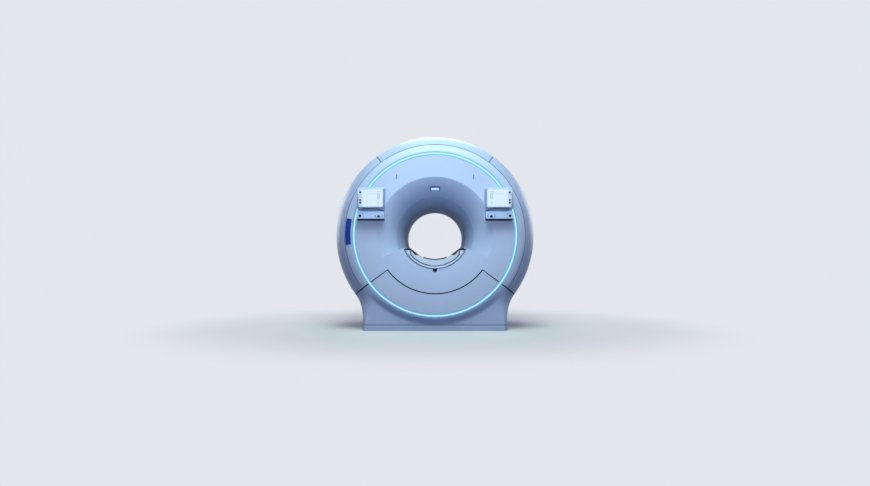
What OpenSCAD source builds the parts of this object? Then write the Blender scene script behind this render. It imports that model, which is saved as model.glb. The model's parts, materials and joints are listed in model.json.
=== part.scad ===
// Closed-bore MRI magnet unit: round covers on a pedestal, light ring, flared bore, bridge and tabletop.
// Millimetres. Z is up, the front faces -Y, the origin is on the floor under the middle of the bore.

/* [Gantry] */
// Diameter of the patient bore
bore_d = 700; // [680:5:710]
// Depth by which the covers' full circle would reach below the floor
shell_sink = 75; // [60:5:90]
// Depth of the covers, from front face to rear face
gantry_l = 1650; // [1640:10:1800]
// Outer radius of the round covers
shell_r = 1140; // [1130:5:1160]
// Depth over which the covers roll from the face to their full radius
roll_d = 420; // [360:10:480]
// Wall of the moulded covers
wall = 6; // [4:0.5:7]

/* [Face] */
// Distance of the light ring's middle line inwards of the covers' outer radius
ring_set = 245; // [240:1:255]
// Width of the light ring
ring_w = 34; // [30:1:44]
// Gap on each side of the light ring
ring_gap = 2; // [1:0.5:3]
// Distance of the groove between front bezel and outer covers inwards of their outer radius
groove_set = 140; // [130:1:150]
// Width of that groove
groove_w = 8; // [4:1:10]
// Width of the seams between covers
seam_gap = 9; // [5:1:12]
// Angle of the top cover's seams from straight up
top_seam = 36.5; // [25:0.5:45]
// Radius of the arc on top of the lower service panel
panel_r = 650; // [640:1:680]
// Depth of the flanges that carry the covers on their frames
frame_d = 70; // [68:1:80]
// Thickness of the cover frames
frame_t = 6; // [4:1:8]

/* [Flare] */
// Radius of the crease where the front flare begins
flare_r = 640; // [610:5:645]
// Depth at which the front flare reaches the bore
flare_d = 560; // [540:5:580]
// Angle by which the flare's surface turns at the crease
flare_turn = 20; // [15:1:25]
// Distance of the seam between face cover and bore liner outwards of the bore
join_w = 86; // [75:1:100]
// Angle below the horizontal at which the flat apron begins
apron_a = 23; // [20:1:26]
// Gap between the bridge's nose and the apron's edge
apron_gap = 10; // [7:1:14]
// Radius of the rear flare
rear_flare_r = 520; // [500:5:560]
// Depth of the rear flare
rear_flare_d = 240; // [220:2:300]

/* [Pedestal] */
// Half width of the pedestal
side_x = 830; // [820:2:850]
// Radius of the hollow between the round covers and the pedestal
fillet_r = 440; // [400:10:460]
// Setback of the pedestal's front from the face
front_set = 50; // [40:1:58]
// Width of the pedestal's rounded front edges, seen from the front
edge_a = 60; // [40:5:80]
// Angle over which the round form turns into the flat front
blend_a = 16; // [12:1:20]
// Width over which the front steps back below the light ring
lip_w = 90; // [70:5:110]
// Height of the plinth, with its top groove
plinth_h = 70; // [60:1:74]
// Height of the groove above the plinth
plinth_groove = 6; // [4:1:10]
// Wall of the plinth
plinth_wall = 20; // [12:1:25]

/* [Bridge and tabletop] */
// Height of the bridge's ledges above the bore's lowest line
ledge_up = 178; // [172:1:182]
// Distance of the ledges' inner sides inwards of the bore's widest line
ledge_in = 78; // [74:1:80]
// Width of the bridge's nose outside the bore
nose_w = 20; // [18:0.5:23]
// Length of the bridge's nose
nose_l = 58; // [40:1:60]
// Height of the black strips on the ledges
strip_h = 24; // [14:1:26]
// Thickness of the glide strips
glide_t = 9.6; // [6:0.1:12]
// Running gap between tabletop and glide strips
glide_gap = 0.4; // [0.3:0.1:0.6]
// Gap between the tabletop and the ledges' inner sides
top_gap = 10; // [8:1:16]
// Height of the tabletop's sides below the ledges
top_drop = 9; // [6:1:14]
// Height of the tabletop's shoulders below its sides
shoulder_drop = 45; // [41:1:51]
// Width of the tabletop's sloping sides
side_w = 46; // [40:1:52]
// Width of the tabletop's shoulders
shoulder_w = 46; // [40:1:52]
// Radius of the tabletop's hollow
hollow_r = 380; // [370:5:400]
// Thickness of the tabletop under the middle of the hollow
top_t = 63; // [56:1:68]
// Thickness of the tabletop's mat and side strips
mat_t = 12; // [6:1:14]
// Setback of the tabletop from the face
top_set = 12; // [8:1:20]
// Length from the face to the tabletop's far end
top_l = 1590; // [1560:5:1620]

/* [Docking socket] */
// Radius of the socket's bore
socket_r = 14; // [10:0.5:16]
// Depth of the socket's bore
socket_l = 50; // [30:1:60]
// Radius of the notch in the apron
notch_r = 24; // [20:1:28]
// Height of the socket below the bridge's nose
socket_drop = 19; // [16:1:23]

/* [Displays] */
// Distance of each display's middle inwards of the light ring's middle line
display_in = 197; // [189:1:205]
// Height of the displays' middle above the bore axis
display_up = 396; // [390:1:415]
// Width of a display's front
display_w = 266; // [260:1:280]
// Height of a display's front
display_h = 200; // [190:1:206]
// Depth of a display housing
display_d = 75; // [60:1:90]
// Slope of a display housing's sides
display_slope = 20; // [10:1:22]
// Depth of the bracket behind the display and control panel
bracket_d = 20; // [15:1:30]
// Width of a screen
screen_w = 222; // [200:1:226]
// Height of a screen
screen_h = 184; // [160:1:186]
// Thickness of a screen's glass
glass_t = 6; // [4:0.5:8]
// Distance of the buttons outwards of their display's middle
button_out = 114; // [110:1:118]
// Radius of a display button
button_r = 10.5; // [8:0.5:11]
// Travel of a display button
button_travel = 2.5; // [1.5:0.5:4]

/* [Control panels] */
// Width of a control panel
control_w = 305; // [290:1:320]
// Height of a control panel
control_h = 87; // [80:1:95]
// Depth of a control panel
control_d = 90; // [80:1:110]
// Drop of a control panel's underside towards its back
control_under = 12; // [6:1:16]
// Gap between display housing and control panel
control_gap = 22; // [16:1:30]
// Radius of the push button
push_r = 14; // [10:0.5:16]
// Travel of the push button
push_travel = 4; // [2:0.5:5]
// Distance of the table rocker inwards of its display's middle
rocker_in = 87; // [78:1:93]
// Width of the table rocker
rocker_w = 33; // [28:1:36]
// Height of the table rocker
rocker_h = 21; // [16:1:24]
// How far buttons and rocker stand out
stand_out = 4; // [3:0.5:6]
// Clearance around buttons, rocker and glass
fit_gap = 0.5; // [0.3:0.1:0.8]

/* [Small trim] */
// Radius of the visor's middle on the flare
visor_r = 514; // [505:1:525]
// Half width of the visor, as an angle
visor_a = 6.2; // [5:0.1:7]
// Distance of a marker window's middle inwards of the light ring's widest line
marker_in = 471; // [455:1:485]
// Distance of a marker window's middle below the light ring's top
marker_drop = 259; // [250:1:270]
// Width of a marker window
marker_w = 13; // [8:1:18]
// Height of a marker window
marker_h = 50; // [40:1:60]
// Half height of the side plate, as an angle
plate_a = 8.5; // [7:0.5:10]
// Thickness of the side plate
plate_t = 2; // [1:0.5:3]

/* [Magnet] */
// Distance of the vacuum vessel inwards of the covers' outer radius
vessel_set = 210; // [200:1:215]
// Depth at which the vacuum vessel begins
vessel_d = 225; // [215:5:235]
// Gap between the gradient coil and the vessel's bore tube
warm_gap = 15; // [10:1:20]
// Wall of the vessel's shell
vessel_wall = 10; // [6:1:14]
// Thickness of the vessel's end plates
end_t = 15; // [10:1:20]
// Distance of the gradient coil outwards of the bore
gradient_gap = 25; // [24:1:30]
// Thickness of the gradient coil
gradient_t = 65; // [55:1:70]
// Depth at which the gradient coil begins
gradient_d = 405; // [400:5:425]
// Thickness of the body coil
body_coil_t = 9; // [6:1:10]
// Distance of the body coil's end from the rear face
body_end = 485; // [445:10:525]
// Gap between the vessel's bore tube and the cold mass frame
cold_gap = 45; // [35:1:55]
// Wall of the cold mass frame
cold_wall = 12; // [8:1:16]
// Distance of the shield coils' seat inwards of the vessel
shield_in = 80; // [70:1:90]
// Distance of each foot from the middle, across the machine
foot_x = 450; // [430:5:480]
// Distance of each foot from the middle, along the bore
foot_y = 450; // [430:5:480]
// Radius of an anchor hole
anchor_r = 11; // [8:0.5:14]
// Distance of an anchor hole outwards of its foot's middle
anchor_out = 110; // [100:5:120]

/* [Hidden] */
$fn = 144;

eps = 0.01;
far = 3000;
bore_r = bore_d / 2;
bore_z = shell_r - shell_sink;
ring_r = shell_r - ring_set;
groove_r = shell_r - groove_set;
marker_x = ring_r - marker_in;
marker_z = ring_r - marker_drop;
join_r = bore_r + join_w;
nose_r = bore_r + nose_w;
apron_r = nose_r + apron_gap;
socket_z = nose_r + socket_drop;
face_r = ring_r - ring_w / 2 - ring_gap;
bezel_in = ring_r + ring_w / 2 + ring_gap;
bezel_out = groove_r - groove_w / 2;
cover_in = groove_r + groove_w / 2;
mid_d = gantry_l / 2;
// The lower seams lie where the round covers meet the hollow above the pedestal
lower_seam = acos((side_x + fillet_r) / (shell_r + fillet_r));
hollow_drop = (shell_r + fillet_r) * sin(lower_seam);
seam_turn = asin(seam_gap / 2 / groove_r);
roll_steps = 14;

// Flare curve: a quarter ellipse that starts turned by flare_turn and ends along the bore
flare_a = (flare_r - bore_r) / (1 - sin(flare_turn));
flare_b = flare_d / cos(flare_turn);
join_turn = asin((bore_r + flare_a - join_r) / flare_a);
join_gap_turn = 0.25;
rear_a = (rear_flare_r - bore_r) / (1 - sin(flare_turn));
rear_b = rear_flare_d / cos(flare_turn);
flare_steps = 12;

vessel_r = shell_r - vessel_set;
gradient_in = bore_r + gradient_gap;
gradient_out = gradient_in + gradient_t;
warm_r = gradient_out + warm_gap;
cold_in = warm_r + cold_gap;
shield_r = vessel_r - shield_in;
ledge_x = bore_r - ledge_in;
ledge_z = bore_r - ledge_up;
liner_end = gantry_l - rear_flare_d - 4;
liner_a = asin((ledge_z - strip_h / 2) / bore_r);
bridge_r = bore_r + wall;
bridge_l = liner_end - wall;
tabletop_r = bore_r - glide_t - glide_gap;
top_x = ledge_x - top_gap;
top_z = ledge_z + top_drop;
shoulder_x = top_x - side_w;
shoulder_z = top_z + shoulder_drop;
hollow_x = shoulder_x - shoulder_w;
hollow_z = tabletop_r - top_t;
notch_depth = 60;
lip_d = 40;

function smooth(t) = let (c = min(1, max(0, t))) c * c * (3 - 2 * c);
function turned(profile) = [for (i = [len(profile) - 1:-1:0]) profile[i]];
function from_rear_plane(profile) = [for (p = profile) [p[0], gantry_l - p[1]]];

// Points [radius, depth] of the rolled edge between two radii, inset by a wall
function roll_points(r0, r1, inset = 0) =
    let (a = shell_r - ring_r - inset, b = roll_d - inset, t0 = asin((r0 - ring_r) / a),
        t1 = asin(min(1, (r1 - ring_r) / a)))
    [for (i = [0:roll_steps]) let (t = t0 + (t1 - t0) * i / roll_steps)
        [ring_r + a * sin(t), roll_d - b * cos(t)]];

// Points [radius, depth] of a flare between two turns, inset by a wall
function flare_points(a, b, depth, t0, t1, inset = 0) =
    [for (i = [0:flare_steps]) let (t = t0 + (t1 - t0) * i / flare_steps)
        [bore_r + a - (a - inset) * sin(t), depth - (b - inset) * cos(t)]];

module from_front() translate([0, -mid_d, bore_z]) rotate([90, 0, 0]) mirror([0, 0, 1]) children();
module from_rear() mirror([0, 1, 0]) from_front() children();
module at_depth(d) from_front() translate([0, 0, d]) children();
module sweep(a0, a1) rotate([0, 0, a0]) rotate_extrude(angle = a1 - a0) children();
module both_sides() for (m = [0, 1]) mirror([m, 0, 0]) children();
module wedge(a0, a1) polygon(concat([[0, 0]], [for (i = [0:6]) let (a = a0 + (a1 - a0) * i / 6)
    [far * cos(a), far * sin(a)]]));
module tube(r_in, r_out, d0, d1) at_depth(d0) linear_extrude(d1 - d0) difference() {
    circle(r_out);
    circle(r_in);
}

// Round covers

function cover_profile() = concat(
    roll_points(cover_in, shell_r),
    from_rear_plane(turned(roll_points(cover_in, shell_r))),
    [[cover_in, gantry_l - frame_d], [cover_in + wall, gantry_l - frame_d]],
    from_rear_plane(roll_points(cover_in + wall, shell_r - wall, wall)),
    turned(roll_points(cover_in + wall, shell_r - wall, wall)),
    [[cover_in + wall, frame_d], [cover_in, frame_d]]);

module round_cover(a0, a1) from_front() sweep(a0 + seam_turn, a1 - seam_turn) polygon(cover_profile());
module top_cover() color("#dfe5ee") round_cover(90 - top_seam, 90 + top_seam);
module right_side_cover() color("#cfd6e2") round_cover(-lower_seam, 90 - top_seam);
module left_side_cover() color("#cfd6e2") round_cover(90 + top_seam, 180 + lower_seam);

function bezel_profile() = concat(
    roll_points(bezel_in, bezel_out),
    [[bezel_out, frame_d], [bezel_out - wall, frame_d]],
    turned(roll_points(bezel_in + wall, bezel_out - wall, wall)),
    [[bezel_in + wall, frame_d], [bezel_in, frame_d]]);

module bezel() sweep(-lower_seam + seam_turn, 180 + lower_seam - seam_turn) polygon(bezel_profile());
module front_bezel() color("#e3e9f2") from_front() bezel();
module rear_bezel() color("#d7dde8") from_rear() bezel();

// Light ring

ring_base = 20;
ring_edge = 8;
ring_crown = 6;
channel_t = 3;
channel_d = 12;
foot_count = 12;
foot_r = 8;

module light_ring() color("#8fe9ff") from_front() rotate_extrude() polygon(concat(
    [for (i = [0:8]) let (t = 180 - 180 * i / 8)
        [ring_r + ring_w / 2 * cos(t), ring_edge - ring_crown * sin(t)]],
    [[ring_r + ring_w / 2, ring_base], [ring_r - ring_w / 2, ring_base]]));

module light_ring_channel() color("#b9bec6") {
    half = ring_w / 2 - 2;
    from_front() rotate_extrude() polygon([
        [ring_r - half, ring_base], [ring_r - half + channel_t, ring_base],
        [ring_r - half + channel_t, ring_base + channel_d - channel_t],
        [ring_r + half - channel_t, ring_base + channel_d - channel_t],
        [ring_r + half - channel_t, ring_base], [ring_r + half, ring_base],
        [ring_r + half, ring_base + channel_d], [ring_r - half, ring_base + channel_d]]);
    at_depth(ring_base + channel_d) for (i = [0:foot_count - 1]) rotate((i + 0.5) * 360 / foot_count)
        translate([ring_r, 0]) cylinder(r = foot_r, h = frame_d - ring_base - channel_d);
}

// Face cover, service panel and bore liner

// Both mouldings are turned solid, then hollowed in front above the apron and behind it below.
// A wall one degree thick stays on each side, where the flare meets the apron
wall_turn = 1;
cut_turn = 3;
cut_step = 0.5;
cut_over = 20;
module marker_places() both_sides() translate([marker_x, marker_z]) children();
module above_apron(points) sweep(-apron_a, 180 + apron_a) polygon(points);
module below_walls(points) sweep(180 + apron_a + wall_turn, 360 - apron_a - wall_turn) polygon(points);

// Turn at which the flare's back reaches a depth
function back_turn(d) = acos((flare_d - d) / (flare_b - wall));
function flare_back(d0, t1) = flare_points(flare_a, flare_b, flare_d, back_turn(d0), t1, wall);

face_join_d = flare_d - flare_b * cos(join_turn - join_gap_turn);
face_rim = [[face_r - wall, wall], [face_r - wall, frame_d], [face_r, frame_d], [face_r, 0]];
panel_top_r = panel_r - seam_gap / 2;

module face_cover() color("#e6ebf3") {
    space = flare_points(flare_a, flare_b, flare_d, flare_turn - cut_turn, join_turn + cut_turn);
    from_front() difference() {
        rotate_extrude() polygon(concat([[apron_r, 0], [apron_r, face_join_d]],
            turned(flare_back(wall, back_turn(face_join_d))), face_rim));
        above_apron(concat(space, [[apron_r - cut_over, space[flare_steps][1]],
            [apron_r - cut_over, -cut_over], [space[0][0], -cut_over]]));
        below_walls([[apron_r - 1, lip_d], [apron_r + wall, lip_d], [apron_r + wall, wall + cut_step],
            [flare_r + cut_over, wall + cut_step], [flare_r + cut_over, face_join_d + 1],
            [apron_r - 1, face_join_d + 1]]);
        sweep(180 + lower_seam - seam_turn, 360 - lower_seam + seam_turn)
            translate([panel_top_r, -1]) square([far, frame_d + 2]);
        translate([0, -socket_z, -1]) cylinder(r = notch_r, h = notch_depth);
        translate([-socket_w / 2 - socket_gap, -nose_r - socket_h - socket_gap, wall + 2 * cut_step])
            cube([socket_w + 2 * socket_gap, socket_h + socket_gap, notch_depth]);
        marker_places() translate([0, 0, wall / 2])
            cube([marker_w + 2 * fit_gap, marker_h + 2 * fit_gap, wall + cut_over], center = true);
    }
    from_front() sweep(181 + lower_seam, 359 - lower_seam)
        translate([panel_top_r - wall - 1, wall / 2]) square([wall, lip_d - wall / 2]);
}

module service_panel() color("#e0e6ef") {
    low = panel_r + seam_gap / 2;
    from_front() sweep(180 + lower_seam + seam_turn, 360 - lower_seam - seam_turn)
        polygon(concat([[low, 0], [low, lip_d], [low + wall, lip_d], [low + wall, wall]], face_rim));
}

liner_join_d = flare_d - flare_b * cos(join_turn + join_gap_turn);

module bore_liner() color("#c3cad6") from_front() difference() {
    space = flare_points(flare_a, flare_b, flare_d, join_turn - cut_turn, 90 - cut_turn);
    last = space[flare_steps];
    before = space[flare_steps - 1];
    slope = (last[1] - before[1]) / (before[0] - last[0]);
    rotate_extrude() polygon(concat([[bore_r, liner_join_d]], flare_back(liner_join_d, 90),
        [[bore_r + wall, liner_end], [bore_r, liner_end]]));
    above_apron(concat(space, [[bore_r - cut_over, last[1] + cut_over * slope],
        [bore_r - cut_over, space[0][1]]]));
    below_walls([[bore_r - cut_over, 0], [flare_r, 0], [flare_r, flare_d + 2],
        [bore_r - cut_over, flare_d + 2]]);
    sweep(180 + liner_a, 360 - liner_a) translate([bore_r - cut_over, flare_d])
        square([wall + 2 * cut_over, gantry_l]);
}

module rear_cover() color("#dde3ec") from_rear() {
    front = flare_points(rear_a, rear_b, rear_flare_d, flare_turn, 90);
    back = flare_points(rear_a, rear_b, rear_flare_d, flare_turn, 90, wall);
    rim = bezel_in - ring_gap;
    rotate_extrude() polygon(concat([[rim, 0]], front, turned(back), [[rim - wall, wall],
        [rim - wall, frame_d], [rim, frame_d]]));
}

// Pedestal: a lofted shell. Columns run on rays from the bore axis, rows from the light ring outwards

hollow_steps = 8;
corner_steps = 5;
flat_steps = 10;
ray_steps = 14;
base_z = plinth_h - bore_z;
skin_taper = 1200;
hollow_start = lower_seam - asin(seam_gap / 2 / fillet_r);

// Right half of the pedestal's outline, from the seam down to the floor's middle, inset by a wall
function outline(inset) = concat(
    [for (i = [0:hollow_steps]) let (a = 180 - hollow_start * (1 - i / hollow_steps))
        [side_x + fillet_r + (fillet_r + inset) * cos(a), -hollow_drop + (fillet_r + inset) * sin(a)]],
    [for (i = [0:corner_steps]) let (t = 90 - 90 * i / corner_steps)
        [side_x - inset - edge_a * (1 - sin(t)), base_z]],
    [for (i = [1:flat_steps]) [(side_x - inset - edge_a) * (1 - i / flat_steps), base_z]]);

// Half width of the outline at a height
function half_width(z) = z < -hollow_drop ? side_x
    : side_x + fillet_r - sqrt(fillet_r * fillet_r - pow(z + hollow_drop, 2));

// Depth of the pedestal's surface at a point of a ray that ends at radius end_r
function pedestal_depth(p, end_r) = let (
        r = norm(p), below = atan2(-p[1], abs(p[0])), w = smooth((below - lower_seam) / blend_a),
        rolled = roll_d * (1 - sqrt(max(0, 1 - pow((r - ring_r) / (end_r - ring_r), 2)))),
        u = min(1, max(0, (abs(p[0]) - half_width(p[1])) / edge_a + 1)),
        flat = front_set * smooth((r - bezel_in) / lip_w)
            + (roll_d - front_set) * (1 - sqrt(1 - u * u)))
    (1 - w) * rolled + w * flat;

// One column: flange, front surface along the ray, side back to the middle
function column(end, inset) = let (end_r = norm(end), dir = end / end_r, r0 = bezel_in + inset,
        outer_r = end_r * (1 + inset / skin_taper))
    concat([[dir[0] * r0, dir[1] * r0, frame_d]],
        [for (j = [0:ray_steps]) let (
                s = sin(90 * j / ray_steps), r = r0 + (end_r - r0) * s, p = dir * r,
                ro = bezel_in + (outer_r - bezel_in) * s,
                d = j == ray_steps && end[1] > base_z ? roll_d : pedestal_depth(dir * ro, outer_r))
            [p[0], p[1], d + inset * (1 - d / roll_d)]],
        [[end[0], end[1], mid_d - seam_gap / 2]]);

function half_columns(inset) = [for (end = outline(inset)) column(end, inset)];
function mirrored(column) = [for (p = column) [-p[0], p[1], p[2]]];
function all_columns(inset) = let (half = half_columns(inset), middle = len(half) - 1)
    concat([for (i = [0:middle]) mirrored(half[i])], [for (i = [middle - 1:-1:0]) half[i]]);

module pedestal_shell() {
    outer = all_columns(0);
    inner = all_columns(wall);
    last = len(outer) - 1;
    rows = len(outer[0]);
    sides = hollow_steps + 1;
    count = (last + 1) * rows;
    points = [for (grid = [outer, inner]) for (col = grid) for (p = col)
        [p[0], p[2] - mid_d, p[1] + bore_z]];
    function o(k, j) = k * rows + j;
    function i(k, j) = count + o(k, j);
    function quad(a, b, c, d) = [[a, b, c], [a, c, d]];
    function is_side(k) = k < sides || k >= last - sides;
    skin = [for (k = [0:last - 1]) for (j = [0:rows - 2]) if (j < rows - 2 || is_side(k)) each concat(
        quad(o(k, j), o(k + 1, j), o(k + 1, j + 1), o(k, j + 1)),
        quad(i(k, j + 1), i(k + 1, j + 1), i(k + 1, j), i(k, j)))];
    rims = [for (k = [0:last - 1]) let (j = is_side(k) ? rows - 1 : rows - 2) each concat(
        quad(o(k + 1, 0), o(k, 0), i(k, 0), i(k + 1, 0)),
        quad(o(k, j), o(k + 1, j), i(k + 1, j), i(k, j)))];
    seams = [for (j = [0:rows - 2]) each concat(
        quad(o(0, j), o(0, j + 1), i(0, j + 1), i(0, j)),
        quad(o(last, j + 1), o(last, j), i(last, j), i(last, j + 1)))];
    ends = let (j = rows - 2, l = sides, r = last - sides) concat(
        quad(o(l, j + 1), o(l, j), i(l, j), i(l, j + 1)),
        quad(o(r, j), o(r, j + 1), i(r, j + 1), i(r, j)));
    polyhedron(points, concat(skin, rims, seams, ends));
}

module front_pedestal_cover() color("#c9d0dd") pedestal_shell();
module rear_pedestal_cover() color("#c0c8d6") mirror([0, 1, 0]) pedestal_shell();

// Plinth, in the plan of the pedestal's foot

function plan_corner(inset) = [for (i = [0:8]) let (t = 90 * i / 8)
    [side_x - edge_a + edge_a * sin(t) - inset,
        mid_d - front_set - (roll_d - front_set) * (1 - cos(t)) - inset]];
function plan(inset) = let (q = plan_corner(inset)) concat(q,
    turned([for (p = q) [p[0], -p[1]]]), [for (p = q) [-p[0], -p[1]]],
    turned([for (p = q) [-p[0], p[1]]]));
groove_inset = 4;
module plinth_ring(inset, h) linear_extrude(h) difference() {
    polygon(plan(inset));
    polygon(plan(plinth_wall));
}
module plinth() color("#c4ccd9") {
    plinth_ring(0, plinth_h - plinth_groove);
    plinth_ring(groove_inset, plinth_h);
}

// Bridge and tabletop

module below(z) translate([-far, -z - far]) square([2 * far, far]);
module trough(outer) difference() {
    intersection() {
        circle(outer);
        below(ledge_z);
    }
    intersection() {
        circle(bore_r);
        translate([-ledge_x, -far]) square([2 * ledge_x, 2 * far]);
    }
}
module bridge() color("#d4dae4") at_depth(nose_l) linear_extrude(bridge_l - nose_l) trough(bridge_r);
module bridge_nose() color("#e4e9f1") from_front() linear_extrude(nose_l) trough(nose_r);
module ledge_strips() color("#14171c") at_depth(nose_l) linear_extrude(bridge_l - nose_l)
    both_sides() intersection() {
        circle(bore_r - 1);
        translate([ledge_x, -ledge_z]) square([far, strip_h]);
    }

glide_a0 = 28;
glide_a1 = 40;
module glide_strips() color("#15181d") at_depth(top_set) linear_extrude(bridge_l - top_set)
    both_sides() intersection() {
        difference() {
            circle(bore_r);
            circle(bore_r - glide_t);
        }
        wedge(-90 + glide_a0, -90 + glide_a1);
    }

// Tabletop: a shell with sloping sides, shoulders and a round hollow for the mat
top_rim = 4;
module hollow(r) intersection() {
    translate([0, hollow_r - hollow_z]) circle(r);
    translate([-hollow_x, -far]) square([2 * hollow_x, 2 * far]);
}
module tabletop() color("#e9edf4") at_depth(top_set) linear_extrude(top_l - top_set) difference() {
    intersection() {
        circle(tabletop_r);
        below(top_z);
        translate([-top_x, -far]) square([2 * top_x, 2 * far]);
    }
    polygon([[-top_x - 1, 0], [-top_x - 1, -top_z], [-top_x + top_rim, -top_z],
        [-shoulder_x, -shoulder_z], [shoulder_x, -shoulder_z], [top_x - top_rim, -top_z],
        [top_x + 1, -top_z], [top_x + 1, 0]]);
    hollow(hollow_r);
}
side_slope = atan((shoulder_z - top_z) / (top_x - top_rim - shoulder_x));
strip_l = 42;
strip_set = 8;
module tabletop_side_strips() color("#14171c") at_depth(top_set) linear_extrude(top_l - top_set)
    both_sides() translate([shoulder_x, -shoulder_z]) rotate(side_slope)
        translate([strip_set, 0]) square([strip_l, mat_t]);
mat_a = 20;
module tabletop_mat() color("#1c2a3c") at_depth(top_set) linear_extrude(top_l - top_set)
    translate([0, hollow_r - hollow_z]) intersection() {
        difference() {
            circle(hollow_r);
            circle(hollow_r - mat_t);
        }
        wedge(-90 - mat_a, -90 + mat_a);
    }

socket_w = 70;
socket_h = 54;
socket_set = 8;
socket_gap = 2;
module docking_socket() color("#101318") difference() {
    at_depth(socket_set) translate([-socket_w / 2, -nose_r - socket_h])
        cube([socket_w, socket_h + cut_over, nose_l - socket_set]);
    at_depth(-eps) cylinder(r = nose_r, h = nose_l + 1);
    at_depth(socket_set - 1) translate([0, -socket_z])
        cylinder(r = socket_r, h = socket_l - socket_set + 1);
}

bracket_plate = 25;
bracket_half = 220;
bracket_low = 600;
bracket_top = 300;
module bridge_bracket() color("#8d949e") at_depth(vessel_d - bracket_plate)
    linear_extrude(bracket_plate) difference() {
        translate([-bracket_half, -bracket_low]) square([2 * bracket_half, bracket_low - bracket_top]);
        circle(bridge_r);
    }

// Trim on the face

module marker_windows() color("#3a4656") from_front() marker_places()
    translate([-marker_w / 2, -marker_h / 2]) cube([marker_w, marker_h, wall]);

function flare_band(r0, r1, low, high) = let (
        t0 = asin((bore_r + flare_a - r0) / flare_a), t1 = asin((bore_r + flare_a - r1) / flare_a))
    concat(flare_points(flare_a, flare_b, flare_d, t0, t1, -high),
        turned(flare_points(flare_a, flare_b, flare_d, t0, t1, -low)));

visor_half = 21;
visor_t = 8;
lens_t = 4;
lens_rim = 5;
lens_turn = 0.6;
module visor_housing() color("#2a3442") from_front() sweep(90 - visor_a, 90 + visor_a)
    polygon(flare_band(visor_r + visor_half, visor_r - visor_half, 0, visor_t));
module visor_lens() color("#f4f8ff") from_front() sweep(90 - visor_a + lens_turn, 90 + visor_a - lens_turn)
    polygon(flare_band(visor_r + visor_half - 2 * lens_rim, visor_r - visor_half + lens_rim, visor_t,
        visor_t + lens_t));

plate_mid = 178;
plate_rim = 4;
plate_w = 52;
plate_in = bezel_out - plate_rim - plate_w;
module side_plate() color("#14309c") from_front() sweep(plate_mid - plate_a, plate_mid + plate_a)
    polygon(concat(roll_points(plate_in, bezel_out - plate_rim),
        turned(roll_points(plate_in, bezel_out - plate_rim, -plate_t))));

// Cover frames and magnet

frame_clear = 1;
frame_low_r = ring_r + 65;
stand_at = ring_r + 10;
stand_r = 16;
module frame_ring() {
    translate([0, 0, frame_d]) linear_extrude(frame_t) difference() {
        union() {
            intersection() {
                circle(cover_in + wall - frame_clear);
                wedge(-lower_seam, 180 + lower_seam);
            }
            circle(frame_low_r);
        }
        circle(face_r - wall - 5);
    }
    translate([0, 0, frame_d + frame_t]) for (i = [0:foot_count - 1]) rotate(i * 360 / foot_count)
        translate([stand_at, 0]) cylinder(r = stand_r, h = vessel_d - frame_d - frame_t);
}
module cover_frames() color("#7d848e") {
    from_front() frame_ring();
    from_rear() frame_ring();
}

module vessel_shell() color("#b4b9c1")
    tube(vessel_r - vessel_wall, vessel_r, vessel_d + end_t, gantry_l - vessel_d - end_t);
module vessel_bore() color("#a7adb6")
    tube(warm_r, warm_r + wall, vessel_d + end_t, gantry_l - vessel_d - end_t);
module vessel_end_plates() color("#a0a6af") for (d = [vessel_d, gantry_l - vessel_d - end_t])
    tube(warm_r, vessel_r, d, d + end_t);

rod_l = 45;
web_d = vessel_d + end_t + rod_l;
shield_seat = 150;
module cold_mass_frame() color("#9fa6b1") from_front() rotate_extrude() polygon([
    [cold_in, web_d], [shield_r, web_d], [shield_r, web_d + shield_seat],
    [shield_r - cold_wall, web_d + shield_seat], [shield_r - cold_wall, web_d + cold_wall],
    [cold_in + cold_wall, web_d + cold_wall], [cold_in + cold_wall, gantry_l - web_d - cold_wall],
    [shield_r - cold_wall, gantry_l - web_d - cold_wall],
    [shield_r - cold_wall, gantry_l - web_d - shield_seat], [shield_r, gantry_l - web_d - shield_seat],
    [shield_r, gantry_l - web_d], [cold_in, gantry_l - web_d]]);

// Widths of the main windings, from the middle outwards
windings = [60, 80, 110];
winding_t = 60;
cold_half = mid_d - web_d - cold_wall;
module main_coils() color("#a5663a") for (i = [0:2]) for (s = [-1, 1])
    let (d = mid_d + s * cold_half * (i + 0.5) / 3)
        tube(cold_in + cold_wall, cold_in + cold_wall + winding_t, d - windings[i] / 2,
            d + windings[i] / 2);
shield_t = 40;
module shield_coils() color("#a5663a")
    for (d = [web_d + cold_wall, gantry_l - web_d - shield_seat])
        tube(shield_r, shield_r + shield_t, d, d + shield_seat - cold_wall);

rod_count = 6;
rod_circle = (cold_in + shield_r) / 2;
rod_r = 12;
module suspension_rods() color("#c9b37a") for (d = [vessel_d + end_t, gantry_l - web_d]) at_depth(d)
    for (i = [0:rod_count - 1]) rotate((i + 0.5) * 360 / rod_count) translate([rod_circle, 0])
        cylinder(r = rod_r, h = rod_l);

module gradient_coil() color("#c9cdd3")
    tube(gradient_in, gradient_out, gradient_d, gantry_l - gradient_d);

block_l = 40;
block_a = 4;
wedge_set = 5;
pads_set = 30;
module blocks(r_in, r_out, ends) for (d = ends) at_depth(d) for (i = [0:7])
    sweep((i + 0.5) * 45 - block_a, (i + 0.5) * 45 + block_a)
        translate([r_in, 0]) square([r_out - r_in, block_l]);
module gradient_wedges() color("#d0b060") blocks(gradient_out, warm_r,
    [gradient_d + wedge_set, gantry_l - gradient_d - block_l - wedge_set]);

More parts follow.
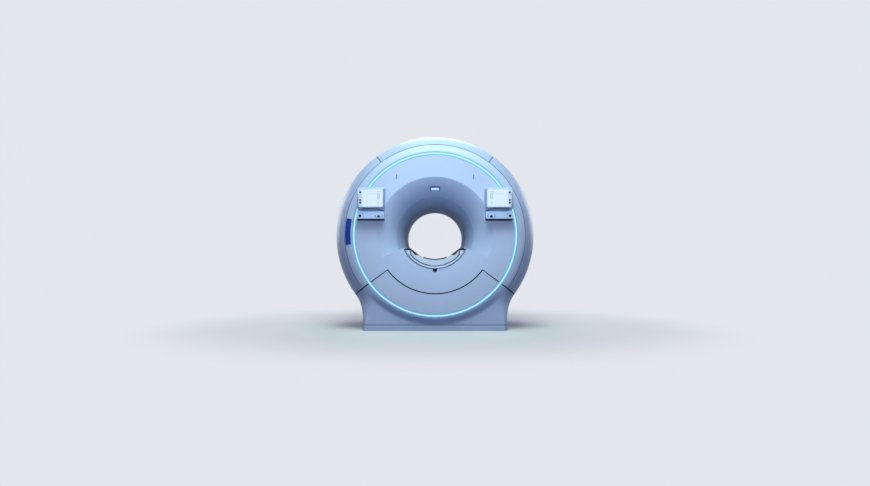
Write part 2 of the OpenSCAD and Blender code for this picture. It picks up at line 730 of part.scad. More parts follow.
body_coil_in = bore_r + wall + 0.3;
body_coil_d = flare_d + 5;
body_coil_l = gantry_l - body_coil_d - body_end;
module body_coil() color("#b87b46")
    tube(body_coil_in, body_coil_in + body_coil_t, body_coil_d, body_coil_d + body_coil_l);
module liner_pads() color("#22252a") blocks(body_coil_in + body_coil_t, gradient_in,
    [body_coil_d + pads_set, body_coil_d + body_coil_l - pads_set - block_l]);

head_y = 150;
head_r = 110;
head_h = 55;
head_rim_r = 130;
head_rim_t = 14;
motor_r = 60;
motor_h = 80;
module cold_head() color("#8f969f") difference() {
    translate([0, head_y, bore_z + vessel_r]) {
        translate([0, 0, -cut_over]) cylinder(r = head_r, h = cut_over + head_h);
        translate([0, 0, head_h]) cylinder(r = head_rim_r, h = head_rim_t);
        translate([0, 0, head_h + head_rim_t]) cylinder(r = motor_r, h = motor_h);
    }
    at_depth(0) cylinder(r = vessel_r, h = gantry_l);
}

pad_t = 10;
base_t = 25;
base_w = 280;
base_l = 300;
column_w = 150;
column_l = 200;
module feet_places() both_sides() for (m = [0, 1]) mirror([0, m, 0]) translate([foot_x, foot_y])
    children();
module foot_hole() translate([anchor_out, 0, -1]) cylinder(r = anchor_r, h = pad_t + base_t + 2);
module magnet_feet() color("#6d747e") difference() {
    feet_places() difference() {
        translate([0, 0, pad_t]) union() {
            translate([-base_w / 2, -base_l / 2]) cube([base_w, base_l, base_t]);
            translate([-column_w / 2, -column_l / 2]) cube([column_w, column_l, bore_z / 3]);
        }
        foot_hole();
    }
    at_depth(0) cylinder(r = vessel_r, h = gantry_l);
}
module isolation_pads() color("#1f2226") feet_places() difference() {
    translate([-base_w / 2, -base_l / 2]) cube([base_w, base_l, pad_t]);
    foot_hole();
}

// Display and control units, drawn for the +X side and mirrored for the other

module on_side(side) mirror([side == "left" ? 1 : 0, 0, 0]) children();
face_y = -mid_d;
unit_y = face_y - bracket_d;
display_x = ring_r - display_in;
display_z = bore_z + display_up;
button_x = display_x + button_out;
rocker_x = display_x - rocker_in;
display_front = unit_y - display_d;
control_front = unit_y - control_d;
slope_extra = 4;
slope_low = display_z - display_h / 2 - display_slope - slope_extra;
control_top = slope_low - control_gap;
control_z = control_top - control_h / 2;
control_x = display_x + 2;
screen_x = display_x - 14;
push_z = control_z - 7;
rocker_z = control_z - 15;
button_heights = [58, -23, -53];
button_l = 9;
button_hole = button_l + button_travel + 2;
push_hole = button_l + push_travel + 2;
rocker_hole = 16;
rocker_rim = 2.5;
back_corner = 22;
front_corner = 12;
control_corner = 10;
control_draft = 4;

// Rounded plate in the XZ plane, its corners made of round rods along Y
module plate_rods(w, h, r, y) for (x = [-1, 1]) for (z = [-1, 1])
    translate([x * (w / 2 - r), y, z * (h / 2 - r)]) rotate([90, 0, 0]) cylinder(r = r, h = 1, $fn = 32);
module round_hole(x, z, y, r, depth) translate([x, y - 1, z]) rotate([-90, 0, 0])
    cylinder(r = r, h = depth + 1);
module stadium(w, h) {
    square([w - h, h], center = true);
    for (s = [-1, 1]) translate([s * (w - h) / 2, 0]) circle(h / 2);
}
module stadium_rod(w, h, y, length) translate([0, y + length, 0]) rotate([90, 0, 0])
    linear_extrude(length) stadium(w, h);

neck_in = 30;
arm_in = 138;
arm_w = 160;
arm_h = 250;
module bracket(side) color("#b6bfcd") on_side(side) {
    translate([display_x - arm_in, unit_y, slope_low - control_h]) cube([arm_w, bracket_d, arm_h]);
    translate([display_x - display_w / 2 + neck_in, control_front + neck_in, control_top])
        cube([display_w - 2 * neck_in, face_y - bracket_d - control_front - neck_in, control_gap]);
}
module display_housing(side) color("#eef3f9") on_side(side) difference() {
    translate([display_x, 0, display_z]) hull() {
        plate_rods(display_w + 2 * display_slope, display_h + 2 * (display_slope + slope_extra),
            back_corner, unit_y);
        plate_rods(display_w, display_h, front_corner, display_front + 1);
    }
    translate([screen_x - screen_w / 2 - fit_gap, display_front - 1,
        display_z - screen_h / 2 - fit_gap])
        cube([screen_w + 2 * fit_gap, glass_t + 1, screen_h + 2 * fit_gap]);
    for (z = button_heights) round_hole(button_x, display_z + z, display_front,
        button_r + fit_gap, button_hole);
}
module screen(side) color("#eaf6ff") on_side(side)
    translate([screen_x - screen_w / 2, display_front, display_z - screen_h / 2])
        cube([screen_w, glass_t, screen_h]);
module display_button(side, i) color("#141b28") on_side(side)
    translate([button_x, display_front - stand_out, display_z + button_heights[i]])
        rotate([-90, 0, 0]) cylinder(r = button_r, h = stand_out + button_l);

module control_panel(side) color("#dce3ee") on_side(side) difference() {
    translate([control_x, 0, control_z]) hull() {
        translate([0, 0, -control_under / 2])
            plate_rods(control_w, control_h + control_under, control_corner, unit_y);
        plate_rods(control_w - 2 * control_draft, control_h - 2 * control_draft, control_corner,
            control_front + 1);
    }
    round_hole(button_x, push_z, control_front, push_r + fit_gap, push_hole);
    translate([rocker_x, 0, rocker_z])
        stadium_rod(rocker_w + 2 * rocker_rim, rocker_h + 2 * rocker_rim, control_front - 1,
            rocker_hole + 1);
}
module push_button(side) color("#101520") on_side(side)
    translate([button_x, control_front - stand_out - 2, push_z])
        rotate([-90, 0, 0]) cylinder(r = push_r, h = stand_out + 2 + button_l);
rocker_l = 9;
pin_r = 4;
pin_reach = 2.2;
module rocker(side) color("#101520") on_side(side) translate([rocker_x, 0, rocker_z]) {
    stadium_rod(rocker_w, rocker_h, control_front - stand_out, stand_out + rocker_l);
    translate([0, control_front + rocker_l - pin_r, 0])
        cylinder(r = pin_r, h = rocker_h + 2 * pin_reach, center = true);
}

plinth();
front_pedestal_cover();
rear_pedestal_cover();
top_cover();
left_side_cover();
right_side_cover();
front_bezel();
rear_bezel();
light_ring();
light_ring_channel();
face_cover();
service_panel();
bore_liner();
rear_cover();
side_plate();
marker_windows();
visor_housing();
visor_lens();
bridge();
bridge_nose();
ledge_strips();
glide_strips();
tabletop();
tabletop_side_strips();
tabletop_mat();
docking_socket();
bridge_bracket();
cover_frames();
vessel_shell();
vessel_bore();
vessel_end_plates();
cold_mass_frame();
main_coils();
shield_coils();
suspension_rods();
gradient_coil();
gradient_wedges();
body_coil();
liner_pads();
cold_head();
magnet_feet();
isolation_pads();
bracket("left");  // left_bracket
bracket("right");  // right_bracket
display_housing("left");  // left_display_housing
display_housing("right");  // right_display_housing
screen("left");  // left_screen
screen("right");  // right_screen
control_panel("left");  // left_control_panel
control_panel("right");  // right_control_panel
display_button("left", 0);  // left_button_top
display_button("left", 1);  // left_button_mid
display_button("left", 2);  // left_button_low
display_button("right", 0);  // right_button_top
display_button("right", 1);  // right_button_mid
display_button("right", 2);  // right_button_low
push_button("left");  // left_push_button
push_button("right");  // right_push_button
rocker("left");  // left_rocker
rocker("right");  // right_rocker
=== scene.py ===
import bpy
import bmesh
import json
import math
from mathutils import Matrix, Vector


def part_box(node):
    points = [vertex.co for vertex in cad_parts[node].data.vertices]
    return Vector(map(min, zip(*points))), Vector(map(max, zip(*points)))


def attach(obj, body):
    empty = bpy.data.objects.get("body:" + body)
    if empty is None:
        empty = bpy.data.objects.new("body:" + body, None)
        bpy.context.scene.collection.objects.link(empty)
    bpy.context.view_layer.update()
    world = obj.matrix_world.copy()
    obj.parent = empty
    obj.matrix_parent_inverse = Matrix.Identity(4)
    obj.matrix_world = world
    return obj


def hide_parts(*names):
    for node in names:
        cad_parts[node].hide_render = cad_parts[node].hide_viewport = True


# Closed-bore MRI magnet unit. Metres, Z up, front faces -Y, origin on the floor under the bore.
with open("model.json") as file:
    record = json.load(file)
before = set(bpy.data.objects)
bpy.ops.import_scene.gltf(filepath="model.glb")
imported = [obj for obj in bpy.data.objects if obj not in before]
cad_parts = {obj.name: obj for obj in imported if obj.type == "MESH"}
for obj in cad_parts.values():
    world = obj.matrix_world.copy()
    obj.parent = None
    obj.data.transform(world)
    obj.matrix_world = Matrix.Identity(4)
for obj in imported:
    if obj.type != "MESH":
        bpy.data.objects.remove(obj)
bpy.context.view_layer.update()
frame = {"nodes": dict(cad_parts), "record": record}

gantry = {
    "front": -0.825, "length": 1.65, "axisHeight": 1.065, "boreRadius": 0.35, "wall": 0.006,
    "shellRadius": 1.140, "rollDepth": 0.42, "ringRadius": 0.895, "ringWidth": 0.034,
    "ringGap": 0.002, "grooveRadius": 1.0, "grooveWidth": 0.008, "flangeDepth": 0.070,
    "seamGap": 0.009, "topSeam": 36.5, "pedestalHalfWidth": 0.830, "hollowRadius": 0.44,
    "edgeSoft": 0.002, "rimSoft": 0.0025, "turnSteps": 240,
}
boreRadius, ringRadius, shellRadius = gantry["boreRadius"], gantry["ringRadius"], gantry["shellRadius"]
frontY, axisHeight, rollDepth = gantry["front"], gantry["axisHeight"], gantry["rollDepth"]
wall, flange, hollowRadius = gantry["wall"], gantry["flangeDepth"], gantry["hollowRadius"]
lowerSeam = math.degrees(math.acos((gantry["pedestalHalfWidth"] + hollowRadius)
                                   / (shellRadius + hollowRadius)))
seamTurn = math.degrees(math.asin(gantry["seamGap"] / 2 / gantry["grooveRadius"]))
bezelInner = ringRadius + gantry["ringWidth"] / 2 + gantry["ringGap"]
bezelOuter = gantry["grooveRadius"] - gantry["grooveWidth"] / 2
coverInner = gantry["grooveRadius"] + gantry["grooveWidth"] / 2
faceRadius = ringRadius - gantry["ringWidth"] / 2 - gantry["ringGap"]
axisCentre = Vector((0, 0, axisHeight))
hair = 0.001  # how far a cutter or a lip runs past the face that it meets


# Mesh helpers

def meshObject(name, bm):
    mesh = bpy.data.meshes.new(name)
    bm.to_mesh(mesh)
    bm.free()
    piece = bpy.data.objects.new(name, mesh)
    bpy.context.scene.collection.objects.link(piece)
    return piece


def smoothShade(bm, sharpAngle=32):
    for face in bm.faces:
        face.smooth = True
    for edge in bm.edges:
        if len(edge.link_faces) == 2:
            edge.smooth = edge.calc_face_angle(0) < math.radians(sharpAngle)


def softenEdges(bm, width, segments=2, fromAngle=28, chosen=None):
    edges = [edge for edge in bm.edges if len(edge.link_faces) == 2
             and edge.calc_face_angle(0) > math.radians(fromAngle) and (chosen is None or chosen(edge))]
    bmesh.ops.bevel(bm, geom=edges, offset=width, offset_type="OFFSET", affect="EDGES",
                    segments=segments, profile=0.5, clamp_overlap=True, material=-1)


def finishPiece(name, bm, body, material, nodes, sharpAngle=32):
    smoothShade(bm, sharpAngle)
    piece = meshObject(name, bm)
    for finish in material if isinstance(material, list) else [material]:
        piece.data.materials.append(finish)
    weighted = piece.modifiers.new("normals", "WEIGHTED_NORMAL")
    weighted.keep_sharp = True
    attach(piece, body)
    if nodes:
        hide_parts(*nodes)
    return piece


def turnProfile(bm, profile, start, end, steps, fromRear=False):
    # Turns [radius, depth] points about the bore axis, anticlockwise as seen from the front
    side = -1 if fromRear else 1
    verts = [bm.verts.new((r, side * (frontY + d), axisHeight)) for r, d in profile]
    edges = [bm.edges.new(pair) for pair in zip(verts, verts[1:] + verts[:1])]
    full = end - start >= 360
    bmesh.ops.rotate(bm, verts=verts, cent=axisCentre,
                     matrix=Matrix.Rotation(-math.radians(start), 3, "Y"))
    bmesh.ops.spin(bm, geom=verts + edges, cent=axisCentre, axis=(0, -1, 0), dvec=(0, 0, 0),
                   angle=math.radians(end - start), steps=steps, use_merge=full)
    if not full:
        bmesh.ops.holes_fill(bm, edges=[edge for edge in bm.edges if edge.is_boundary], sides=0)
    return bm


def turnedSolid(profile, start, end, steps, fromRear=False):
    bm = turnProfile(bmesh.new(), profile, start, end, steps, fromRear)
    bmesh.ops.recalc_face_normals(bm, faces=bm.faces)
    return bm


def carved(blank, cutters):
    target = meshObject("blank", blank)
    tools = [meshObject("cutter", cutter) for cutter in cutters]
    for tool in tools:
        cut = target.modifiers.new("cut", "BOOLEAN")
        cut.operation = "DIFFERENCE"
        cut.solver = "EXACT"
        cut.object = tool
    bm = bmesh.new()
    bm.from_object(target, bpy.context.evaluated_depsgraph_get())
    for scrap in [target] + tools:
        bpy.data.objects.remove(scrap)
    bmesh.ops.remove_doubles(bm, verts=bm.verts, dist=1e-5)
    bmesh.ops.dissolve_degenerate(bm, edges=bm.edges, dist=1e-5)
    return bm


def joinMesh(bm, added):
    scrap = bpy.data.meshes.new("joined")
    added.to_mesh(scrap)
    added.free()
    bm.from_mesh(scrap)
    bpy.data.meshes.remove(scrap)


def joinField(bm, field, index):
    # A small raised field with a finish of its own
    for face in field.faces:
        face.material_index = index
    joinMesh(bm, field)


def extrudedOutline(outline, depthStart, depthEnd):
    # Outline points [x, height above the axis], extruded along the bore
    bm = bmesh.new()
    verts = [bm.verts.new((x, frontY + depthStart, axisHeight + z))
             for x, z in outline]
    face = bm.faces.new(verts)
    made = bmesh.ops.extrude_face_region(bm, geom=[face])
    bmesh.ops.translate(bm, verts=[g for g in made["geom"] if isinstance(g, bmesh.types.BMVert)],
                        vec=(0, depthEnd - depthStart, 0))
    bmesh.ops.recalc_face_normals(bm, faces=bm.faces)
    return bm


def arcPoints(radius, start, end, count, centreHeight=0.0):
    return [[radius * math.cos(math.radians(start + (end - start) * i / count)),
             centreHeight + radius * math.sin(math.radians(start + (end - start) * i / count))]
            for i in range(count + 1)]


def copiedNode(nodeName, planarAngle=0.6):
    # A merged copy of a CAD node, its flat faces whole again
    bm = bmesh.new()
    bm.from_mesh(frame["nodes"][nodeName].data)
    bmesh.ops.remove_doubles(bm, verts=bm.verts, dist=2e-5)
    bmesh.ops.dissolve_limit(bm, angle_limit=math.radians(planarAngle), verts=bm.verts, edges=bm.edges)
    return bm


# Material helpers

def linearColour(hexText):
    def channel(value):
        return value / 12.92 if value <= 0.04045 else ((value + 0.055) / 1.055) ** 2.4
    return [channel(int(hexText[i:i + 2], 16) / 255) for i in (1, 3, 5)] + [1.0]


def setInputs(tree, node, inputs):
    # Links sockets, and sets numbers and hex colours
    for key, value in inputs.items():
        if isinstance(value, bpy.types.NodeSocket):
            tree.links.new(value, node.inputs[key])
        else:
            node.inputs[key].default_value = linearColour(value) if isinstance(value, str) else value


def addNode(tree, kind, inputs=None, **settings):
    node = tree.nodes.new(kind)
    for key, value in settings.items():
        setattr(node, key, value)
    setInputs(tree, node, inputs or {})
    return node


def mathNode(tree, operation, *values):
    return addNode(tree, "ShaderNodeMath", dict(enumerate(values)), operation=operation).outputs[0]


def newMaterial(name):
    material = bpy.data.materials.new(name)
    material.use_nodes = True
    tree = material.node_tree
    shader = tree.nodes["Principled BSDF"]
    place = addNode(tree, "ShaderNodeTexCoord").outputs["Object"]
    return material, tree, shader, place


def mouldedPlastic(name, tone, darkTone, roughness, grain=0.0022, depth=0.00012, coat=0.0,
                   specular=0.3, glow=None):
    # Moulded or painted surface: even colour with faint clouds 350 mm wide and an orange-peel grain.
    # Real orange peel is under 1 mm; the grain is drawn at 2.2 mm so that it shows at all
    material, tree, shader, place = newMaterial(name)
    cloud = addNode(tree, "ShaderNodeTexNoise", {"Vector": place, "Scale": 1 / 0.35, "Detail": 2.0})
    shade = addNode(tree, "ShaderNodeMix", {"Factor": cloud.outputs["Fac"], 6: darkTone, 7: tone},
                    data_type="RGBA")
    peel = addNode(tree, "ShaderNodeTexNoise", {"Vector": place, "Scale": 1 / grain, "Detail": 1.0})
    gloss = addNode(tree, "ShaderNodeMapRange", {"Value": peel.outputs["Fac"], "To Min": roughness - 0.05,
                                                 "To Max": roughness + 0.05})
    bump = addNode(tree, "ShaderNodeBump", {"Height": peel.outputs["Fac"], "Strength": 0.35,
                                            "Distance": depth})
    setInputs(tree, shader, {
        "Base Color": shade.outputs[2], "Roughness": gloss.outputs["Result"],
        "Normal": bump.outputs["Normal"], "IOR": 1.46, "Specular IOR Level": specular,
        "Coat Weight": coat,
    })
    if glow:
        setInputs(tree, shader, {"Emission Color": glow, "Emission Strength": 1.0})
    return material


def cleanMetal(name, tone, roughness, stretch=(1, 30, 1), grain=0.012):
    # Machined or drawn metal: tool marks 12 mm apart, drawn out along one direction
    material, tree, shader, place = newMaterial(name)
    along = addNode(tree, "ShaderNodeMapping", {"Vector": place, "Scale": stretch})
    marks = addNode(tree, "ShaderNodeTexNoise", {"Vector": along.outputs["Vector"], "Scale": 1 / grain,
                                                 "Detail": 3.0})
    gloss = addNode(tree, "ShaderNodeMapRange", {"Value": marks.outputs["Fac"],
                                                 "To Min": roughness - 0.08, "To Max": roughness + 0.08})
    setInputs(tree, shader, {"Base Color": tone, "Roughness": gloss.outputs["Result"], "Metallic": 1.0})
    return material


def lightRingOpal():
    # Extruded opal polycarbonate, lit from inside: a narrow cyan core that fades to blue at both edges
    material, tree, shader, place = newMaterial("opalPolycarbonate")
    parts = addNode(tree, "ShaderNodeSeparateXYZ", {"Vector": place})
    height = mathNode(tree, "SUBTRACT", parts.outputs["Z"], axisHeight)
    flat = addNode(tree, "ShaderNodeCombineXYZ", {"X": parts.outputs["X"], "Y": height})
    radius = addNode(tree, "ShaderNodeVectorMath", {0: flat.outputs[0]}, operation="LENGTH")
    offset = mathNode(tree, "SUBTRACT", radius.outputs["Value"], ringRadius)
    fade = addNode(tree, "ShaderNodeMapRange", {"Value": mathNode(tree, "ABSOLUTE", offset),
                                                "From Min": 0.003, "From Max": 0.015},
                   interpolation_type="SMOOTHSTEP")
    glow = addNode(tree, "ShaderNodeMix", {"Factor": fade.outputs["Result"], 6: "#b2d8dd", 7: "#4583a8"},
                   data_type="RGBA")
    setInputs(tree, shader, {"Emission Color": glow.outputs[2], "Emission Strength": 1.0,
                             "Base Color": "#3a7f9c", "Roughness": 0.4, "Specular IOR Level": 0.3})
    return material


# Polyurethane paint sprayed on moulded foam covers: satin, with wide soft highlights on the roll
coverPlastic = mouldedPlastic("sprayedCoverPaint", "#9fadc8", "#98a6c3", 0.46)
# The same paint on the face and bezels: a shade paler and a little glossier
facePlastic = mouldedPlastic("sprayedFacePaint", "#a9b6ce", "#a3b0c9", 0.42)
# Glass fibre laminate, matt from its mould: no highlight, so the bore reads as deep
linerPlastic = mouldedPlastic("mouldedLinerLaminate", "#9fadc8", "#98a6c2", 0.6, specular=0.05)
# Injection moulded ABS of the displays: the palest plastic on it, with small crisp edges
housingPlastic = mouldedPlastic("mouldedDisplayAbs", "#c2cfe0", "#bdcadc", 0.36)
# Moulded ABS of the control panels: bluer and darker. On the displays' top and side slopes the same tone
# is painted shade
panelAbsAndSlopeShade = mouldedPlastic("mouldedPanelAbsAndSlopeShade", "#9fb3d4", "#9aaed0", 0.36)
# Powder coated bracket behind the display: dull, and its dark tone is painted shade so that it falls
# back. The same tone prints the control panels' small marks
bracketShadeAndMarkPaint = mouldedPlastic("powderCoatedBracketShadeAndMarks", "#51627d", "#4d5d78", 0.5)
# Polished gelcoat on the bridge nose: pale, with a thin wet sheen
bridgePlastic = mouldedPlastic("polishedGelcoat", "#aab8cf", "#a5b3cb", 0.3, coat=0.2)
# Pressed laminate of the tabletop: pale grey and smooth enough to mirror the bore faintly
topLaminate = mouldedPlastic("pressedTopLaminate", "#a9b3c0", "#a3aebc", 0.28, coat=0.2)
# Moulded nylon of strips, buttons and docking socket: near black, broad dull highlights. On the control
# panels' undersides the same near black is painted shade
blackNylonAndUndersideShade = mouldedPlastic("mouldedBlackNylonAndUndersideShade", "#0a0e15", "#080b11", 0.55)
# Extruded rubber in the seams: black, takes no highlight. The same black band in the plinth's groove is
# painted shade
seamRubberAndGrooveShade = mouldedPlastic("extrudedSeamRubberAndGrooveShade", "#0b1019", "#090d15", 0.75)
# Extruded grey rubber in the ring grooves: only a soft grey line
greySeal = mouldedPlastic("extrudedGreyRubber", "#64748f", "#5f6f8a", 0.7)
# Closed-cell foam mat with a moulded skin: black and flat, its grain drawn at 4 mm to show
matFoam = mouldedPlastic("skinnedMatFoam", "#0b1220", "#090f1b", 0.8, grain=0.004, depth=0.0003)
# Stoved enamel on the side plate: deep even blue with an eggshell sheen
bluePlate = mouldedPlastic("stovedBlueEnamel", "#0c338f", "#0a2f86", 0.4)
# Smoked polycarbonate, moulded: dark frame of the positioning light. Its dark tone is painted shade, the
# shadow line above the lens
smokedFrameShade = mouldedPlastic("smokedPolycarbonateFrameShade", "#3d5274", "#384c6d", 0.3)
# Tinted polycarbonate in the marker windows: two small slits, darker than the face
markerPlastic = mouldedPlastic("tintedPolycarbonate", "#56709c", "#526b96", 0.3)
# Frosted polycarbonate over the positioning light: pale, with an even painted glow that stands for light
# falling on the lens
lensPaintedGlow = mouldedPlastic("frostedPolycarbonatePaintedGlow", "#eaf3ff", "#e4efff", 0.3, glow="#8fa9cc")
# Etched glass over a lit panel: an even pale glow with faint gloss, and three tones for its fields
screenGlass, screenLine, screenColumn, screenBand = [
    mouldedPlastic(name, "#4f5b66", "#4b5762", 0.25, glow=tone)
    for name, tone in (("etchedScreenGlass", "#c9dbe6"), ("etchedScreenHeader", "#a3b4c2"),
                       ("etchedScreenColumn", "#97b4c2"), ("etchedScreenBand", "#b9cedc"))]
diffuser = lightRingOpal()
# Cast rubber under the magnet's feet: black and dull
padRubber = mouldedPlastic("castPadRubber", "#1b1e22", "#16181c", 0.7)
# Powder coated steel of the frames and feet: plain mid grey, half matt
frameSteel = mouldedPlastic("powderCoatedSteel", "#6c737e", "#666d78", 0.5)
# Ground stainless steel of the vacuum vessel: grey metal with long soft streaks
vesselSteel = cleanMetal("groundStainlessSteel", "#b4b8be", 0.35)
# Turned aluminium: brighter metal with tighter streaks
frameAluminium = cleanMetal("turnedAluminium", "#c0c4ca", 0.32)
# Copper wound and set in resin: warm metal with the windings' fine lines
copperWinding = cleanMetal("resinBondedCopper", "#b0714a", 0.4, stretch=(1, 120, 1))
# Wound glass fibre rods: straw coloured and half matt
woundFibre = mouldedPlastic("woundGlassFibre", "#b9a064", "#ad955c", 0.5)
# Cast epoxy of the gradient coil: light grey, half matt
castResin = mouldedPlastic("castEpoxy", "#b6bcc4", "#aeb5bf", 0.5)
# Pressed board with copper under varnish: brown, with a slight sheen
coilLaminate = mouldedPlastic("varnishedCoilBoard", "#9c6a40", "#93633b", 0.45)
print("materials made")

nodeFinish = {
    "outer_shell": coverPlastic, "face_shell": facePlastic, "bore_shell": linerPlastic,
    "light_diffuser": diffuser, "channel_metal": frameAluminium, "blue_plate": bluePlate,
    "smoked_window": smokedFrameShade, "visor_clear": lensPaintedGlow, "bridge_plastic": bridgePlastic,
    "tabletop_laminate": topLaminate, "black_polymer": blackNylonAndUndersideShade, "mat_foam": matFoam,
    "socket_metal": blackNylonAndUndersideShade, "frame_steel": frameSteel, "vessel_steel": vesselSteel,
    "cold_frame": frameAluminium, "winding_copper": copperWinding, "rod_composite": woundFibre,
    "gradient_resin": castResin, "body_coil_board": coilLaminate, "pad_rubber": padRubber,
    "display_shell": housingPlastic, "screen_glass": screenGlass, "button_black": blackNylonAndUndersideShade,
}
for part in frame["record"]["subparts"]:
    shownNode = frame["nodes"][part["node"]]
    shownNode.data.materials.clear()
    shownNode.data.materials.append(nodeFinish[part["material_slot"]])


# Round covers and bezels

rollSteps = {
    "cover": 26, "coverBack": 10, "coverFacet": 1.5, "bezel": 10, "bezelBack": 6, "bezelTurn": 180,
}


def rollPoints(inner, outer, count, inset=0.0):
    # [radius, depth] along the quarter ellipse from the light ring to the outermost edge
    across = shellRadius - ringRadius - inset
    deep = rollDepth - inset
    start = math.asin((inner - ringRadius) / across)
    end = math.asin(min(1.0, (outer - ringRadius) / across))
    turns = [start + (end - start) * i / count for i in range(count + 1)]
    return [[ringRadius + across * math.sin(t), rollDepth - deep * math.cos(t)]
            for t in turns]


def toRear(profile):
    # The same profile at the back: the covers are alike front and rear
    return [[r, gantry["length"] - d] for r, d in profile]


def coverProfile():
    inner = coverInner
    outer = rollPoints(inner, shellRadius, rollSteps["cover"])
    back = rollPoints(inner + wall, shellRadius - wall, rollSteps["coverBack"], wall)
    return (outer + toRear(outer[::-1]) + [[inner, gantry["length"] - flange],
            [inner + wall, gantry["length"] - flange]] + toRear(back) + back[::-1]
            + [[inner + wall, flange], [inner, flange]])


def bezelProfile():
    inner, outer = bezelInner, bezelOuter
    back = rollPoints(inner + wall, outer - wall, rollSteps["bezelBack"], wall)
    return (rollPoints(inner, outer, rollSteps["bezel"]) + [[outer, flange], [outer - wall, flange]]
            + back[::-1] + [[inner + wall, flange], [inner, flange]])


coverSpans = {
    "top": (90 - gantry["topSeam"], 90 + gantry["topSeam"]),
    "right_side": (-lowerSeam, 90 - gantry["topSeam"]),
    "left_side": (90 + gantry["topSeam"], 180 + lowerSeam),
}
for place, (start, end) in coverSpans.items():
    start, end = start + seamTurn, end - seamTurn
    bm = turnedSolid(coverProfile(), start, end, int((end - start) / rollSteps["coverFacet"]))
    softenEdges(bm, gantry["edgeSoft"], 2)
    finishPiece(place + "CoverMoulding", bm, "gantry", coverPlastic, [place + "_cover"])

for fromRear in (False, True):
    end = lowerSeam - seamTurn
    bm = turnedSolid(bezelProfile(), -end, 180 + end, rollSteps["bezelTurn"], fromRear)
    softenEdges(bm, gantry["edgeSoft"], 2)
    name = "rear" if fromRear else "front"
    finishPiece(name + "BezelMoulding", bm, "gantry", facePlastic, [name + "_bezel"])
print("round covers made")


# Light ring

ringShape = {"edge": 0.008, "arch": 0.006, "base": 0.020, "archSteps": 20}
half = gantry["ringWidth"] / 2
profile = [[ringRadius + r, ringShape["edge"] - z * ringShape["arch"] / half]
           for r, z in arcPoints(half, 180, 0, ringShape["archSteps"])]
profile += [[ringRadius + half, ringShape["base"]], [ringRadius - half, ringShape["base"]]]
finishPiece("lightRingDiffuser", turnedSolid(profile, 0, 360, gantry["turnSteps"]), "gantry",
            diffuser, ["light_ring"])


# Face cover, service panel, bore liner and rear cover

flare = {"crease": 0.640, "depth": 0.560, "turn": 20.0, "join": 0.436, "joinGapTurn": 0.25}
rearFlare = {"crease": 0.520, "depth": 0.240, "turn": 20.0}
apron = {
    "angle": 23.0, "radius": 0.380, "backRadius": 0.660, "rimSet": 0.030, "wallTurn": 1.0,
    "panelRadius": 0.650, "lipDepth": 0.040, "lipTurn": 1.0, "openSteps": 151, "lowSteps": 88,
    "seamSteps": 80, "panelSteps": 96,
}
socketCut = {
    "notchRadius": 0.024, "notchHeight": -0.389, "notchDepth": 0.059,
    "halfWidth": 0.037, "low": -0.426, "high": -0.370, "front": 0.007, "back": 0.067,
}
markerSlot = {
    "x": 0.424, "halfWidth": 0.007, "low": 0.6105, "high": 0.6615, "front": -0.002, "back": 0.010,
}
liner = {
    "endGap": 0.004, "backSteps": 40, "turnSteps": 200, "spaceSteps": 60, "ledgeHeight": -0.160,
    "floorOuter": 0.376, "floorStart": 0.56, "floorEnd": 1.70,
}
cutter = {
    "over": 0.02, "overTurn": 3, "farRadius": 3.0, "depth": 0.071, "linerInner": 0.33,
    "linerDepth": 0.562,
}


def flareSizes(kind):
    # Half axes of the ellipse that the flare's section follows
    across = (kind["crease"] - boreRadius) / (1 - math.sin(math.radians(kind["turn"])))
    return across, kind["depth"] / math.cos(math.radians(kind["turn"]))


def flarePoints(kind, start, end, count, inset=0.0):
    across, deep = flareSizes(kind)
    turns = [math.radians(start + (end - start) * i / count) for i in range(count + 1)]
    return [[boreRadius + across - (across - inset) * math.sin(t),
             kind["depth"] - (deep - inset) * math.cos(t)] for t in turns]


def backTurn(depth):
    deep = flareSizes(flare)[1] - wall
    return math.degrees(math.acos((flare["depth"] - depth) / deep))


def flareBack(fromDepth, end, count):
    return flarePoints(flare, backTurn(fromDepth), end, count, wall)


def rod(x, height, radius, depthStart, depthEnd, segments=48):
    bm = bmesh.new()
    bmesh.ops.create_cone(bm, cap_ends=True, segments=segments, radius1=radius, radius2=radius,
                          depth=depthEnd - depthStart,
                          matrix=Matrix.Translation((x, frontY + (depthStart + depthEnd) / 2,
                                                     axisHeight + height))
                          @ Matrix.Rotation(math.radians(90), 4, "X"))
    return bm


def block(low, high):
    size = [b - a for a, b in zip(low, high)]
    centre = [(a + b) / 2 for a, b in zip(low, high)]
    bm = bmesh.new()
    bmesh.ops.create_cube(bm, size=1.0, matrix=Matrix.Translation(centre) @ Matrix.Diagonal(size + [1.0]))
    return bm


def pocketBlock(pocket, x=0.0):
    # Depths are from the front, heights from the bore axis
    return block((x - pocket["halfWidth"], frontY + pocket["front"], axisHeight + pocket["low"]),
                 (x + pocket["halfWidth"], frontY + pocket["back"], axisHeight + pocket["high"]))


joinTurn = math.degrees(math.asin((boreRadius + flareSizes(flare)[0] - flare["join"])
                                  / flareSizes(flare)[0]))
faceJoinTurn, linerJoinTurn = joinTurn - flare["joinGapTurn"], joinTurn + flare["joinGapTurn"]
faceJoinDepth = flarePoints(flare, faceJoinTurn, faceJoinTurn, 1)[0][1]
linerJoinDepth = flarePoints(flare, linerJoinTurn, linerJoinTurn, 1)[0][1]
faceRim = [[faceRadius - wall, wall], [faceRadius - wall, flange],
           [faceRadius, flange], [faceRadius, 0.0]]
panelTop = apron["panelRadius"] - gantry["seamGap"] / 2
openSpan = (-apron["angle"], 180 + apron["angle"], apron["openSteps"])
lowSpan = (180 + apron["angle"] + apron["wallTurn"], 360 - apron["angle"] - apron["wallTurn"],
           apron["lowSteps"])

